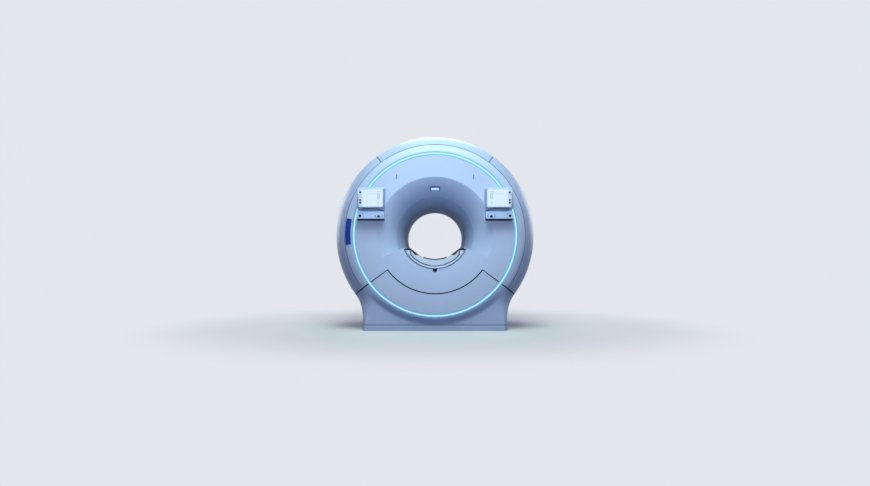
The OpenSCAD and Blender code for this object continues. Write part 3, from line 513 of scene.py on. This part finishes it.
faceBlank = turnedSolid([[apron["radius"], 0.0], [apron["radius"], faceJoinDepth]]
                        + flareBack(wall, backTurn(faceJoinDepth), 30)[::-1] + faceRim,
                        0, 360, gantry["turnSteps"])
space = flarePoints(flare, flare["turn"] - cutter["overTurn"], joinTurn + cutter["overTurn"], 44)
within = apron["radius"] - cutter["over"]
inFront = turnedSolid(space + [[within, space[-1][1]], [within, -cutter["over"]],
                               [space[0][0], -cutter["over"]]], *openSpan)
rimDepth = flange - apron["rimSet"]
behind = turnedSolid([[apron["radius"] - hair, rimDepth], [apron["radius"] + wall, rimDepth],
                      [apron["radius"] + wall, wall], [apron["backRadius"], wall],
                      [apron["backRadius"], faceJoinDepth + hair],
                      [apron["radius"] - hair, faceJoinDepth + hair]], *lowSpan)
seamCut = turnedSolid([[panelTop, -hair], [cutter["farRadius"], -hair],
                       [cutter["farRadius"], cutter["depth"]], [panelTop, cutter["depth"]]],
                      180 + lowerSeam - seamTurn, 360 - lowerSeam + seamTurn,
                      apron["seamSteps"])
notch = rod(0, socketCut["notchHeight"], socketCut["notchRadius"], -hair, socketCut["notchDepth"])
markerSlots = [pocketBlock(markerSlot, side * markerSlot["x"]) for side in (-1, 1)]
bm = carved(faceBlank, [inFront, behind, seamCut, notch, pocketBlock(socketCut)] + markerSlots)
softenEdges(bm, gantry["rimSoft"], 2)
turnProfile(bm, [[panelTop - wall - hair, wall / 2], [panelTop - hair, wall / 2],
                 [panelTop - hair, apron["lipDepth"]], [panelTop - wall - hair, apron["lipDepth"]]],
            180 + apron["lipTurn"] + lowerSeam, 360 - apron["lipTurn"] - lowerSeam, apron["seamSteps"])
bmesh.ops.recalc_face_normals(bm, faces=bm.faces)
finishPiece("faceCoverMoulding", bm, "gantry", facePlastic, ["face_cover"])

low = apron["panelRadius"] + gantry["seamGap"] / 2
bm = turnedSolid([[low, 0.0], [low, apron["lipDepth"]], [low + wall, apron["lipDepth"]],
                  [low + wall, wall]] + faceRim, 180 + lowerSeam + seamTurn, 360 - lowerSeam - seamTurn,
                 apron["panelSteps"])
softenEdges(bm, gantry["rimSoft"], 2)
finishPiece("servicePanelMoulding", bm, "gantry", facePlastic, ["service_panel"])

linerEnd = gantry["length"] - rearFlare["depth"] - liner["endGap"]
linerBlank = turnedSolid([[boreRadius, linerJoinDepth]]
                         + flareBack(linerJoinDepth, 90, liner["backSteps"])
                         + [[boreRadius + wall, linerEnd], [boreRadius, linerEnd]],
                         0, 360, liner["turnSteps"])
space = flarePoints(flare, joinTurn - cutter["overTurn"], 90 - cutter["overTurn"], liner["spaceSteps"])
slope = (space[-1][1] - space[-2][1]) / (space[-2][0] - space[-1][0])
within = boreRadius - cutter["over"]
inFront = turnedSolid(space + [[within, space[-1][1] + cutter["over"] * slope],
                               [within, space[0][1]]], *openSpan)
inside, under = cutter["linerInner"], liner["floorOuter"]
below = turnedSolid([[inside, 0.0], [flare["crease"], 0.0], [flare["crease"], cutter["linerDepth"]],
                     [inside, cutter["linerDepth"]]], *lowSpan)
ledgeTurn = math.degrees(math.asin(-liner["ledgeHeight"] / boreRadius))
floorCut = turnedSolid([[inside, liner["floorStart"]], [under, liner["floorStart"]],
                        [under, liner["floorEnd"]], [inside, liner["floorEnd"]]],
                       180 + ledgeTurn, 360 - ledgeTurn, apron["lowSteps"])
bm = carved(linerBlank, [inFront, below, floorCut])
softenEdges(bm, gantry["edgeSoft"], 2)
finishPiece("boreLinerShell", bm, "gantry", linerPlastic, ["bore_liner"])

rimRadius = bezelInner - gantry["ringGap"]
profile = ([[rimRadius, 0.0]] + flarePoints(rearFlare, rearFlare["turn"], 90, 40)
           + flarePoints(rearFlare, rearFlare["turn"], 90, 24, wall)[::-1]
           + [[rimRadius - wall, wall], [rimRadius - wall, flange], [rimRadius, flange]])
bm = turnedSolid(profile, 0, 360, gantry["turnSteps"], fromRear=True)
softenEdges(bm, gantry["edgeSoft"], 2)
finishPiece("rearCoverMoulding", bm, "gantry", facePlastic, ["rear_cover"])
print("face covers made")


# Rubber gaskets in the seams and a dust brush under the tabletop

gasket = {
    "set": 0.003, "thick": 0.022, "depth": 0.030, "clear": 0.0003, "snug": 0.98, "endGap": 0.002,
    "grooveSet": 0.046, "lap": 0.0022, "lipTurn": 0.40, "lipGap": 0.003, "proud": 0.0006, "bed": 0.0004,
    "steps": 24, "backSteps": 16, "grooveSteps": 200,
}


def seamGasket(angle, inner):
    near = rollPoints(inner, shellRadius, gasket["steps"], gasket["set"])
    deep = rollPoints(inner + gasket["thick"], shellRadius - gasket["thick"], gasket["backSteps"],
                      gasket["set"] + gasket["thick"])
    half = seamTurn - math.degrees(gasket["clear"] / coverInner)
    return turnedSolid(near + toRear(near[::-1]) + toRear(deep) + deep[::-1],
                       angle - half, angle + half, 2)


bm = bmesh.new()
gasketEnd = faceRadius - gasket["endGap"]
for angle in (90 - gantry["topSeam"], 90 + gantry["topSeam"]):
    joinMesh(bm, seamGasket(angle, coverInner))
for angle in (-lowerSeam, 180 + lowerSeam):
    joinMesh(bm, seamGasket(angle, bezelInner + gasket["endGap"]))
    inside = [[panelTop + hair, gasket["set"]], [gasketEnd, gasket["set"]],
              [gasketEnd, gasket["depth"]], [panelTop + hair, gasket["depth"]]]
    half = seamTurn * gasket["snug"]
    joinMesh(bm, turnedSolid(inside, angle - half, angle + half, 2))
lap, proud, bed = gasket["lap"], gasket["proud"], gasket["bed"]
strip = [[panelTop + bed, bed], [panelTop - lap, bed], [panelTop - lap, -proud],
         [low + lap, -proud], [low + lap, bed], [low - bed, bed],
         [low - bed, gasket["depth"]], [panelTop + bed, gasket["depth"]]]
joinMesh(bm, turnedSolid(strip, 180 + lowerSeam, 360 - lowerSeam, apron["seamSteps"]))
for angle in (-lowerSeam, 180 + lowerSeam):
    # Lips that lap over both panels, on the face and round the covers to the back
    first, last = angle - gasket["lipTurn"], angle + gasket["lipTurn"]
    joinMesh(bm, turnedSolid([[panelTop - lap, -proud], [gasketEnd, -proud], [gasketEnd, bed],
                              [panelTop - lap, bed]], first, last, 2))
    lipStart = bezelInner + gasket["lipGap"]
    over = rollPoints(lipStart, shellRadius + proud, gasket["steps"], -proud)
    under = rollPoints(lipStart, shellRadius, gasket["steps"], bed)
    joinMesh(bm, turnedSolid(over + toRear(over[::-1]) + toRear(under) + under[::-1], first, last, 2))
finishPiece("seamGaskets", bm, "gantry", seamRubberAndGrooveShade, [])

bm = bmesh.new()
groove = [[bezelOuter + gasket["clear"], gasket["grooveSet"]],
          [coverInner - gasket["clear"], gasket["grooveSet"]],
          [coverInner - gasket["clear"], flange], [bezelOuter + gasket["clear"], flange]]
for fromRear in (False, True):
    joinMesh(bm, turnedSolid(groove, -lowerSeam, 180 + lowerSeam,
                             gasket["grooveSteps"], fromRear))
finishPiece("grooveLiners", bm, "gantry", greySeal, [])


# Pedestal: a sheet laid over rays from the bore axis, then given its wall

pedestal = {
    "frontSet": 0.050, "edgeWidth": 0.060, "blendAngle": 16.0, "lipWidth": 0.090, "foot": 0.070,
    "hollowSteps": 28, "cornerSteps": 12, "flatSteps": 24, "raySteps": 40,
}
hollowDrop = (shellRadius + hollowRadius) * math.sin(math.radians(lowerSeam))


def eased(t):
    c = min(1.0, max(0.0, t))
    return c * c * (3 - 2 * c)


def pedestalOutline():
    # Right half, from the seam down to the middle of the foot
    halfWidth, edge = gantry["pedestalHalfWidth"], pedestal["edgeWidth"]
    base = pedestal["foot"] - axisHeight
    start = lowerSeam - math.degrees(math.asin(gantry["seamGap"] / 2 / hollowRadius))
    points = [[halfWidth + hollowRadius + x, z - hollowDrop]
              for x, z in arcPoints(hollowRadius, 180 - start, 180, pedestal["hollowSteps"])]
    for i in range(pedestal["cornerSteps"] + 1):
        t = math.radians(90 - 90 * i / pedestal["cornerSteps"])
        points.append([halfWidth - edge * (1 - math.sin(t)), base])
    for i in range(1, pedestal["flatSteps"] + 1):
        points.append([(halfWidth - edge) * (1 - i / pedestal["flatSteps"]), base])
    return points


def pedestalDepth(x, z, endRadius):
    # Blends the round roll at the seam into the flat front with its rounded upright edges
    radius, base = math.hypot(x, z), bezelInner
    below = math.degrees(math.atan2(-z, abs(x)))
    share = eased((below - lowerSeam) / pedestal["blendAngle"])
    along = (radius - ringRadius) / (endRadius - ringRadius)
    rolled = rollDepth * (1 - math.sqrt(max(0.0, 1 - along * along)))
    halfWidth = gantry["pedestalHalfWidth"]
    if z > -hollowDrop:
        halfWidth += hollowRadius - math.sqrt(hollowRadius ** 2 - (z + hollowDrop) ** 2)
    u = min(1.0, max(0.0, (abs(x) - halfWidth) / pedestal["edgeWidth"] + 1))
    flat = (pedestal["frontSet"] * eased((radius - base) / pedestal["lipWidth"])
            + (rollDepth - pedestal["frontSet"]) * (1 - math.sqrt(1 - u * u)))
    return (1 - share) * rolled + share * flat


def pedestalColumn(x, z):
    # From the flange at the light ring outwards along one ray, then back along the side
    end = math.hypot(x, z)
    inner, base = bezelInner, pedestal["foot"] - axisHeight
    points = [[x / end * inner, z / end * inner, flange]]
    for j in range(pedestal["raySteps"] + 1):
        r = inner + (end - inner) * math.sin(math.radians(90 * j / pedestal["raySteps"]))
        px, pz = x / end * r, z / end * r
        atEdge = j == pedestal["raySteps"] and z > base + 1e-6
        points.append([px, pz, rollDepth if atEdge else pedestalDepth(px, pz, end)])
    return points + [[x, z, gantry["length"] / 2 - gantry["seamGap"] / 2]]


halfOutline = pedestalOutline()
wholeOutline = [[-x, z] for x, z in halfOutline[:-1]] + halfOutline[::-1]
columns = [pedestalColumn(x, z) for x, z in wholeOutline]
for fromRear in (False, True):
    bm = bmesh.new()
    bmesh.ops.create_grid(bm, x_segments=len(columns) - 1, y_segments=len(columns[0]) - 1, size=1.0)
    bm.verts.ensure_lookup_table()
    side = -1 if fromRear else 1
    for i, vert in enumerate(bm.verts):
        x, z, depth = columns[i % len(columns)][i // len(columns)]
        vert.co = (x, side * (frontY + depth), axisHeight + z)
    foot = pedestal["foot"] + 1e-4
    bmesh.ops.delete(bm, context="FACES", geom=[
        face for face in bm.faces if all(v.co.z < foot for v in face.verts)])
    bmesh.ops.recalc_face_normals(bm, faces=bm.faces)
    bmesh.ops.solidify(bm, geom=bm.faces[:], thickness=wall)
    name = "rear" if fromRear else "front"
    finishPiece(name + "PedestalMoulding", bm, "gantry", coverPlastic,
                [name + "_pedestal_cover"], sharpAngle=40)


def planCorner(inset, count=16):
    edge, halfWidth = pedestal["edgeWidth"], gantry["pedestalHalfWidth"]
    front, roll = -frontY - pedestal["frontSet"], rollDepth - pedestal["frontSet"]
    turns = [math.radians(90 * i / count) for i in range(count + 1)]
    return [[halfWidth - edge + edge * math.sin(t) - inset, front - roll * (1 - math.cos(t)) - inset]
            for t in turns]


def planRing(inset, innerInset, bottom, top):
    corner = planCorner(inset)
    outline = (corner + [[x, -y] for x, y in corner[::-1]] + [[-x, -y] for x, y in corner]
               + [[-x, y] for x, y in corner[::-1]])
    bm = bmesh.new()
    face = bm.faces.new([bm.verts.new((x, y, bottom)) for x, y in outline])
    face.normal_update()
    made = bmesh.ops.inset_region(bm, faces=[face], thickness=innerInset - inset, use_boundary=True,
                                  use_even_offset=True)
    bmesh.ops.delete(bm, geom=[face], context="FACES_ONLY")
    grown = bmesh.ops.extrude_face_region(bm, geom=made["faces"])
    bmesh.ops.translate(bm, verts=[g for g in grown["geom"] if isinstance(g, bmesh.types.BMVert)],
                        vec=(0, 0, top - bottom))
    bmesh.ops.recalc_face_normals(bm, faces=bm.faces)
    return bm


plinth = {"height": 0.070, "groove": 0.006, "strip": 0.002, "wall": 0.020, "soft": 0.004}
bm = planRing(0.0, plinth["wall"], 0.0, plinth["height"] - plinth["groove"])
softenEdges(bm, plinth["soft"], 3)
# A near-black band is painted into the groove above the plinth as the groove's shadow
strip = planRing(plinth["strip"], plinth["wall"], plinth["height"] - plinth["groove"], plinth["height"])
joinField(bm, strip, 1)
finishPiece("plinthFrame", bm, "gantry", [coverPlastic, seamRubberAndGrooveShade], ["plinth"])
print("pedestal made")


# Bridge in the bore and tabletop

trimSoft = {
    "socket": 0.0015, "marker": 0.001, "plate": 0.0008, "visor": 0.0015, "screen": 0.001, "cap": 0.0015,
}
bridge = {
    "ledgeHeight": -0.172, "ledgeInner": 0.272, "noseRadius": 0.370, "noseLength": 0.058, "endGap": 0.006,
    "stripHeight": 0.024, "stripGap": 0.001, "glideThickness": 0.0096, "glideStart": 28.0,
    "glideEnd": 40.0, "glideGap": 0.0002, "troughSoft": 0.0015, "soft": 0.003, "glideSoft": 0.001,
}
brush = {"set": 0.04, "length": 0.025, "gap": 0.0005, "gapTurn": 0.3}
tabletop = {
    "radius": 0.340, "halfWidth": 0.262, "sideHeight": -0.181, "rim": 0.004, "shoulderHeight": -0.226,
    "shoulderHalf": 0.216, "hollowHalf": 0.170, "hollowRadius": 0.380, "hollowHeight": -0.277,
    "start": 0.012, "end": 1.590, "padSet": 0.008, "padLength": 0.042, "padThickness": 0.018,
    "padSoft": 0.002, "matThickness": 0.012, "matAngle": 20.0, "matGap": 0.0003, "matSoft": 0.0015,
    "soft": 0.005,
}
bridgeEnd = linerEnd - bridge["endGap"]


def troughOutline(outer):
    height = bridge["ledgeHeight"]
    ledge = math.degrees(math.asin(-height / outer))
    inner = math.degrees(math.acos(bridge["ledgeInner"] / boreRadius))
    return (arcPoints(outer, 180 + ledge, 360 - ledge, 60) + [[bridge["ledgeInner"], height]]
            + arcPoints(boreRadius, 360 - inner, 180 + inner, 50)
            + [[-bridge["ledgeInner"], height]])


bm = extrudedOutline(troughOutline(boreRadius + wall), bridge["noseLength"], bridgeEnd)
softenEdges(bm, bridge["troughSoft"], 2)
finishPiece("bridgeTrough", bm, "gantry", blackNylonAndUndersideShade, ["bridge"])
bm = extrudedOutline(troughOutline(bridge["noseRadius"]), 0.0, bridge["noseLength"])
softenEdges(bm, bridge["soft"], 3)
finishPiece("bridgeNoseMoulding", bm, "gantry", bridgePlastic, ["bridge_nose"])

bm = bmesh.new()
reach = boreRadius - bridge["stripGap"]
for side in (-1, 1):
    low, high = bridge["ledgeHeight"], bridge["ledgeHeight"] + bridge["stripHeight"]
    outline = [[side * bridge["ledgeInner"], low], [side * math.sqrt(reach ** 2 - low ** 2), low],
               [side * math.sqrt(reach ** 2 - high ** 2), high], [side * bridge["ledgeInner"], high]]
    joinMesh(bm, extrudedOutline(outline, bridge["noseLength"], bridgeEnd))
softenEdges(bm, bridge["soft"], 3)
finishPiece("ledgeStripRubber", bm, "gantry", blackNylonAndUndersideShade, ["ledge_strips"])

bm = bmesh.new()
spread = (bridge["glideEnd"] - bridge["glideStart"]) / 2
for side in (1, -1):
    middle = -90 + side * (bridge["glideStart"] + bridge["glideEnd"]) / 2
    outline = (arcPoints(boreRadius - bridge["glideGap"], middle - spread, middle + spread, 12)
               + arcPoints(boreRadius - bridge["glideThickness"], middle + spread,
                           middle - spread, 12))
    joinMesh(bm, extrudedOutline(outline, tabletop["start"], bridgeEnd))
softenEdges(bm, bridge["glideSoft"], 1)
finishPiece("glideStripPolymer", bm, "gantry", blackNylonAndUndersideShade, ["glide_strips"])

bristleTurn = bridge["glideStart"] - brush["gapTurn"]
bristleLow, bristleHigh = tabletop["radius"] + brush["gap"], boreRadius - brush["gap"]
bm = turnedSolid([[bristleLow, 0.0], [bristleHigh, 0.0], [bristleHigh, brush["length"]],
                  [bristleLow, brush["length"]]], -90 - bristleTurn, -90 + bristleTurn, 60)
bmesh.ops.translate(bm, verts=bm.verts, vec=(0, bridge["noseLength"] + brush["set"], 0))
finishPiece("dustBrush", bm, "gantry", seamRubberAndGrooveShade, [])

halfSide = [[tabletop["halfWidth"], tabletop["sideHeight"]],
            [tabletop["halfWidth"] - tabletop["rim"], tabletop["sideHeight"]],
            [tabletop["shoulderHalf"], tabletop["shoulderHeight"]],
            [tabletop["hollowHalf"], tabletop["shoulderHeight"]]]
centre = tabletop["hollowHeight"] + tabletop["hollowRadius"]
hollowTurn = math.degrees(math.asin(tabletop["hollowHalf"] / tabletop["hollowRadius"]))
sideTurn = math.degrees(math.acos(tabletop["halfWidth"] / tabletop["radius"]))
outline = (arcPoints(tabletop["radius"], 180 + sideTurn, 360 - sideTurn, 60) + halfSide
           + arcPoints(tabletop["hollowRadius"], -90 + hollowTurn, -90 - hollowTurn, 40, centre)
           + [[-x, z] for x, z in halfSide[::-1]])
bm = extrudedOutline(outline, tabletop["start"], tabletop["end"])
softenEdges(bm, tabletop["soft"], 3)
finishPiece("tabletopShell", bm, "tabletop", topLaminate, ["tabletop"])

slopeTurn = math.atan2(tabletop["sideHeight"] - tabletop["shoulderHeight"],
                       tabletop["halfWidth"] - tabletop["rim"] - tabletop["shoulderHalf"])
bm = bmesh.new()
for side in (-1, 1):
    corners = []
    for along, up in ((0, 0), (1, 0), (1, 1), (0, 1)):
        s = tabletop["padSet"] + along * tabletop["padLength"]
        t = up * tabletop["padThickness"]
        out = s * math.cos(slopeTurn) - t * math.sin(slopeTurn)
        rise = s * math.sin(slopeTurn) + t * math.cos(slopeTurn)
        corners.append([side * (tabletop["shoulderHalf"] + out), tabletop["shoulderHeight"] + rise])
    joinMesh(bm, extrudedOutline(corners, tabletop["start"], tabletop["end"]))
softenEdges(bm, tabletop["padSoft"], 2)
finishPiece("sideStripPads", bm, "tabletop", blackNylonAndUndersideShade, ["tabletop_side_strips"])

matTurn = tabletop["matAngle"]
under, over = (tabletop["hollowRadius"] - tabletop[key] for key in ("matGap", "matThickness"))
outline = (arcPoints(under, -90 - matTurn, -90 + matTurn, 40, centre)
           + arcPoints(over, -90 + matTurn, -90 - matTurn, 40, centre))
bm = extrudedOutline(outline, tabletop["start"], tabletop["end"])
softenEdges(bm, tabletop["matSoft"], 2)
finishPiece("centreMat", bm, "tabletop", matFoam, ["tabletop_mat"])

bm = copiedNode("docking_socket")
softenEdges(bm, trimSoft["socket"], 2)
finishPiece("dockingSocketBody", bm, "gantry", blackNylonAndUndersideShade, ["docking_socket"])
print("bridge and tabletop made")


# Trim on the face

visor = {"inner": 0.498, "brow": 0.529, "outer": 0.542, "turn": 6.3, "hookTurn": 5.3, "lensTurn": 5.0,
         "lensInner": 0.506, "lensGap": 0.0005, "stand": 0.008, "lensStand": 0.005, "bed": 0.001,
         "over": 0.02, "clear": 0.03}
bm = copiedNode("marker_windows")
softenEdges(bm, trimSoft["marker"], 2)
finishPiece("markerWindowGlass", bm, "gantry", markerPlastic, ["marker_windows"])

sidePlate = {"inner": 0.930, "outer": 0.9925, "middle": 178.0, "turn": 8.6, "thick": 0.002}
face = rollPoints(sidePlate["inner"], sidePlate["outer"], 8, -sidePlate["thick"])
bed = rollPoints(sidePlate["inner"], sidePlate["outer"], 8)
bm = turnedSolid(face + bed[::-1], sidePlate["middle"] - sidePlate["turn"],
                 sidePlate["middle"] + sidePlate["turn"], 24)
softenEdges(bm, trimSoft["plate"], 2)
finishPiece("sidePlateBlue", bm, "gantry", bluePlate, ["side_plate"])


def flareArc(inner, outer, stand, turn, bed):
    # A band on the flare, its outer face raised by stand, centred over the bore
    across = flareSizes(flare)[0]
    first, last = [math.degrees(math.asin((boreRadius + across - r) / across))
                   for r in (outer, inner)]
    band = flarePoints(flare, first, last, 8, -stand) + flarePoints(flare, last, first, 8, -bed)
    return turnedSolid(band, 90 - turn, 90 + turn, 24)


# The dark housing arc is painted shade along the visor's top gap
brow = flareArc(visor["inner"], visor["outer"], visor["stand"], visor["turn"], visor["bed"])
opening = flareArc(visor["inner"] - visor["over"], visor["brow"], visor["clear"], visor["hookTurn"],
                   -visor["over"] / 2)
bm = carved(brow, [opening])
softenEdges(bm, trimSoft["visor"], 2)
finishPiece("visorHousingArc", bm, "gantry", smokedFrameShade, ["visor_housing"])
# The lens glows with painted light, standing for light falling on it
bm = flareArc(visor["lensInner"], visor["brow"] - visor["lensGap"], visor["lensStand"], visor["lensTurn"],
              visor["bed"])
softenEdges(bm, trimSoft["visor"], 2)
finishPiece("visorLensArc", bm, "gantry", lensPaintedGlow, ["visor_lens"])


# Displays and control panels

screenParts = {   # on the screen's inner side: [from inner edge, to, from top, to, material index]
    "header": (0.006, 0.076, 0.024, 0.031, 1), "columnLeft": (0.026, 0.038, 0.040, 0.110, 2),
    "columnRight": (0.045, 0.055, 0.040, 0.110, 2), "columnFoot": (0.030, 0.056, 0.128, 0.170, 3),
    "band": (0.082, 0.168, 0.045, 0.054, 3),
}
panelMarks = {   # on a control panel: [from the middle inwards, above the middle, width, height]
    "rockerIn": (0.128, -0.010, 0.012, 0.012), "rockerOut": (0.052, -0.010, 0.012, 0.012),
    "pushMark": (-0.082, 0.018, 0.014, 0.010),
}
mark = {"proud": 0.0003, "bed": 0.001, "lift": 0.006}
housings = {   # name: [node, edge, finish]
    "DisplayShell": ("_display_housing", 0.004, housingPlastic),
    "ControlPanelShell": ("_control_panel", 0.004, panelAbsAndSlopeShade),
    # The bracket's dark tone is painted shade
    "ArmBracket": ("_bracket", 0.003, bracketShadeAndMarkPaint),
}
caps = {
    "ButtonTop": "_button_top", "ButtonMid": "_button_mid", "ButtonLow": "_button_low",
    "PushButtonCap": "_push_button", "RockerCap": "_rocker",
}
for side in ("left", "right"):
    outward = -1 if side == "left" else 1
    for name, (node, width, finish) in housings.items():
        bm = copiedNode(side + node)
        softenEdges(bm, width, 3)
        finishes = [finish]
        for face in bm.faces:
            face.normal_update()
        if name == "DisplayShell":
            # Pale front and underside; the top and side slopes take the bluer, darker panel tone as
            # painted shade
            finishes = [housingPlastic, panelAbsAndSlopeShade]
            for face in bm.faces:
                face.material_index = 0 if face.normal.y < -0.8 or face.normal.z < -0.5 else 1
        if name == "ControlPanelShell":
            # The underside is painted near black as shade; the small printed marks are dark
            finishes = [finish, blackNylonAndUndersideShade, bracketShadeAndMarkPaint]
            lowCorner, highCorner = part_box(side + node)
            for face in bm.faces:
                if face.normal.z < -0.6:
                    face.material_index = 1
            middleX = (lowCorner[0] + highCorner[0]) / 2
            middleZ, y = (lowCorner[2] + highCorner[2]) / 2 + mark["lift"], lowCorner[1]
            for inward, above, wide, high in panelMarks.values():
                x, z = middleX - outward * inward, middleZ + above
                joinField(bm, block((x - wide / 2, y - mark["proud"], z - high / 2),
                                    (x + wide / 2, y + mark["bed"], z + high / 2)), 2)
        finishPiece(side + name, bm, "gantry", finishes, [side + node])
    bm = copiedNode(side + "_screen")
    softenEdges(bm, trimSoft["screen"], 2)
    lowCorner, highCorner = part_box(side + "_screen")
    innerX = highCorner[0] if side == "left" else lowCorner[0]
    for near, far, top, bottom, index in screenParts.values():
        xs = sorted((innerX + outward * near, innerX + outward * far))
        joinField(bm, block((xs[0], lowCorner[1] - mark["proud"], highCorner[2] - bottom),
                            (xs[1], lowCorner[1] + mark["bed"], highCorner[2] - top)), index)
    finishPiece(side + "ScreenGlass", bm, "gantry",
                [screenGlass, screenLine, screenColumn, screenBand], [side + "_screen"])
    for name, node in caps.items():
        bm = copiedNode(side + node)
        softenEdges(bm, trimSoft["cap"], 3)
        finishPiece(side + name, bm, side + node, blackNylonAndUndersideShade, [side + node])
print("trim and displays made")


# Studio

studio = {
    "cameraDistance": 7.0, "cameraHeight": 0.735, "lens": 26.34, "shiftY": 0.0249,
    "floorTone": "#d3d0d0", "floorBounce": "#55678a", "backTone": "#e3e7ed", "worldLevel": 0.27,
}
world = bpy.data.worlds.new("studioWorld")
bpy.context.scene.world = world
world.use_nodes = True


def shownToEye(tree):
    # 1 for what the camera, gloss and glass see, 0 for the light that falls on things
    paths = addNode(tree, "ShaderNodeLightPath")
    seen = mathNode(tree, "MAXIMUM", paths.outputs["Is Camera Ray"], paths.outputs["Is Glossy Ray"])
    return mathNode(tree, "MAXIMUM", seen, paths.outputs["Is Transmission Ray"])


tree = world.node_tree
tree.nodes.clear()
soft = addNode(tree, "ShaderNodeBackground", {"Color": "#dde9fb", "Strength": studio["worldLevel"]})
pale = addNode(tree, "ShaderNodeBackground", {"Color": studio["backTone"], "Strength": 1.0})
mixed = addNode(tree, "ShaderNodeMixShader", {0: shownToEye(tree), 1: soft.outputs[0],
                                              2: pale.outputs[0]})
addNode(tree, "ShaderNodeOutputWorld", {"Surface": mixed.outputs[0]})


def paleFloorPaint():
    # Matt painted floor: pale to the eye with the object's shadow, and one tone with the backdrop far off
    material, tree, shader, place = newMaterial("paleFloorPaint")
    tone = addNode(tree, "ShaderNodeMix", {"Factor": shownToEye(tree), 6: studio["floorBounce"],
                                           7: studio["floorTone"]}, data_type="RGBA")
    setInputs(tree, shader, {"Base Color": tone.outputs[2], "Roughness": 0.9, "Specular IOR Level": 0.1})
    reach = addNode(tree, "ShaderNodeVectorMath", {0: place}, operation="LENGTH")
    share = addNode(tree, "ShaderNodeMapRange", {"Value": reach.outputs["Value"], "From Min": 1.5,
                                                 "From Max": 3.6}, interpolation_type="SMOOTHSTEP")
    far = mathNode(tree, "MULTIPLY", share.outputs["Result"], shownToEye(tree))
    even = addNode(tree, "ShaderNodeEmission", {"Color": studio["backTone"]})
    both = addNode(tree, "ShaderNodeMixShader", {0: far, 1: shader.outputs[0], 2: even.outputs[0]})
    tree.links.new(both.outputs[0], tree.nodes["Material Output"].inputs["Surface"])
    return material


bm = bmesh.new()
bmesh.ops.create_grid(bm, x_segments=1, y_segments=1, size=40)
floor = meshObject("studioFloor", bm)
floor.data.materials.append(paleFloorPaint())

lamps = {   # place, aimed at, size, power, tone, spread
    "keySoftbox": ((0, -4.2, 4.9), (0, -0.7, 1.1), 3.0, 186, "#eff4fd", 180),
    "topSoftbox": ((0, -1.8, 4.0), (0, -0.7, 2.0), 2.4, 25, "#c8f6ec", 80),
    "frontFill": ((0, -8.0, 0.4), (0, -0.8, 1.1), 3.6, 152, "#e2ecfb", 180),
    "flareFill": ((0, -6.0, 0.35), (0, -0.5, 1.46), 0.8, 2.5, "#c2dcff", 26),
    "rearFill": ((0, 4.6, 5.6), (0, 0.7, 1.1), 3.0, 185, "#eef4ff", 180),
    "leftFill": ((-4.6, 4.0, 2.4), (-1.0, 0.6, 1.0), 2.5, 45, "#eef4ff", 120),
    "rightFill": ((4.6, 4.0, 2.4), (1.0, 0.6, 1.0), 2.5, 45, "#eef4ff", 120),
}
for name, (place, target, size, power, tone, spread) in lamps.items():
    lamp = bpy.data.lights.new(name, "AREA")
    lamp.shape = "SQUARE"
    lamp.size = size
    lamp.energy = power
    lamp.spread = math.radians(spread)
    lamp.color = linearColour(tone)[:3]
    holder = bpy.data.objects.new(name, lamp)
    bpy.context.scene.collection.objects.link(holder)
    holder.location = place
    holder.rotation_euler = (Vector(target) - Vector(place)).to_track_quat("-Z", "Y").to_euler()

camera = bpy.data.cameras.new("studioCamera")
camera.lens = studio["lens"]
camera.sensor_width = 36
camera.shift_y = studio["shiftY"]
cameraHolder = bpy.data.objects.new("studioCamera", camera)
bpy.context.scene.collection.objects.link(cameraHolder)
cameraHolder.location = (0, frontY - studio["cameraDistance"], studio["cameraHeight"])
cameraHolder.rotation_euler = (math.radians(90), 0, 0)
bpy.context.scene.camera = cameraHolder
bpy.context.scene.view_settings.view_transform = "Standard"
print("studio made")
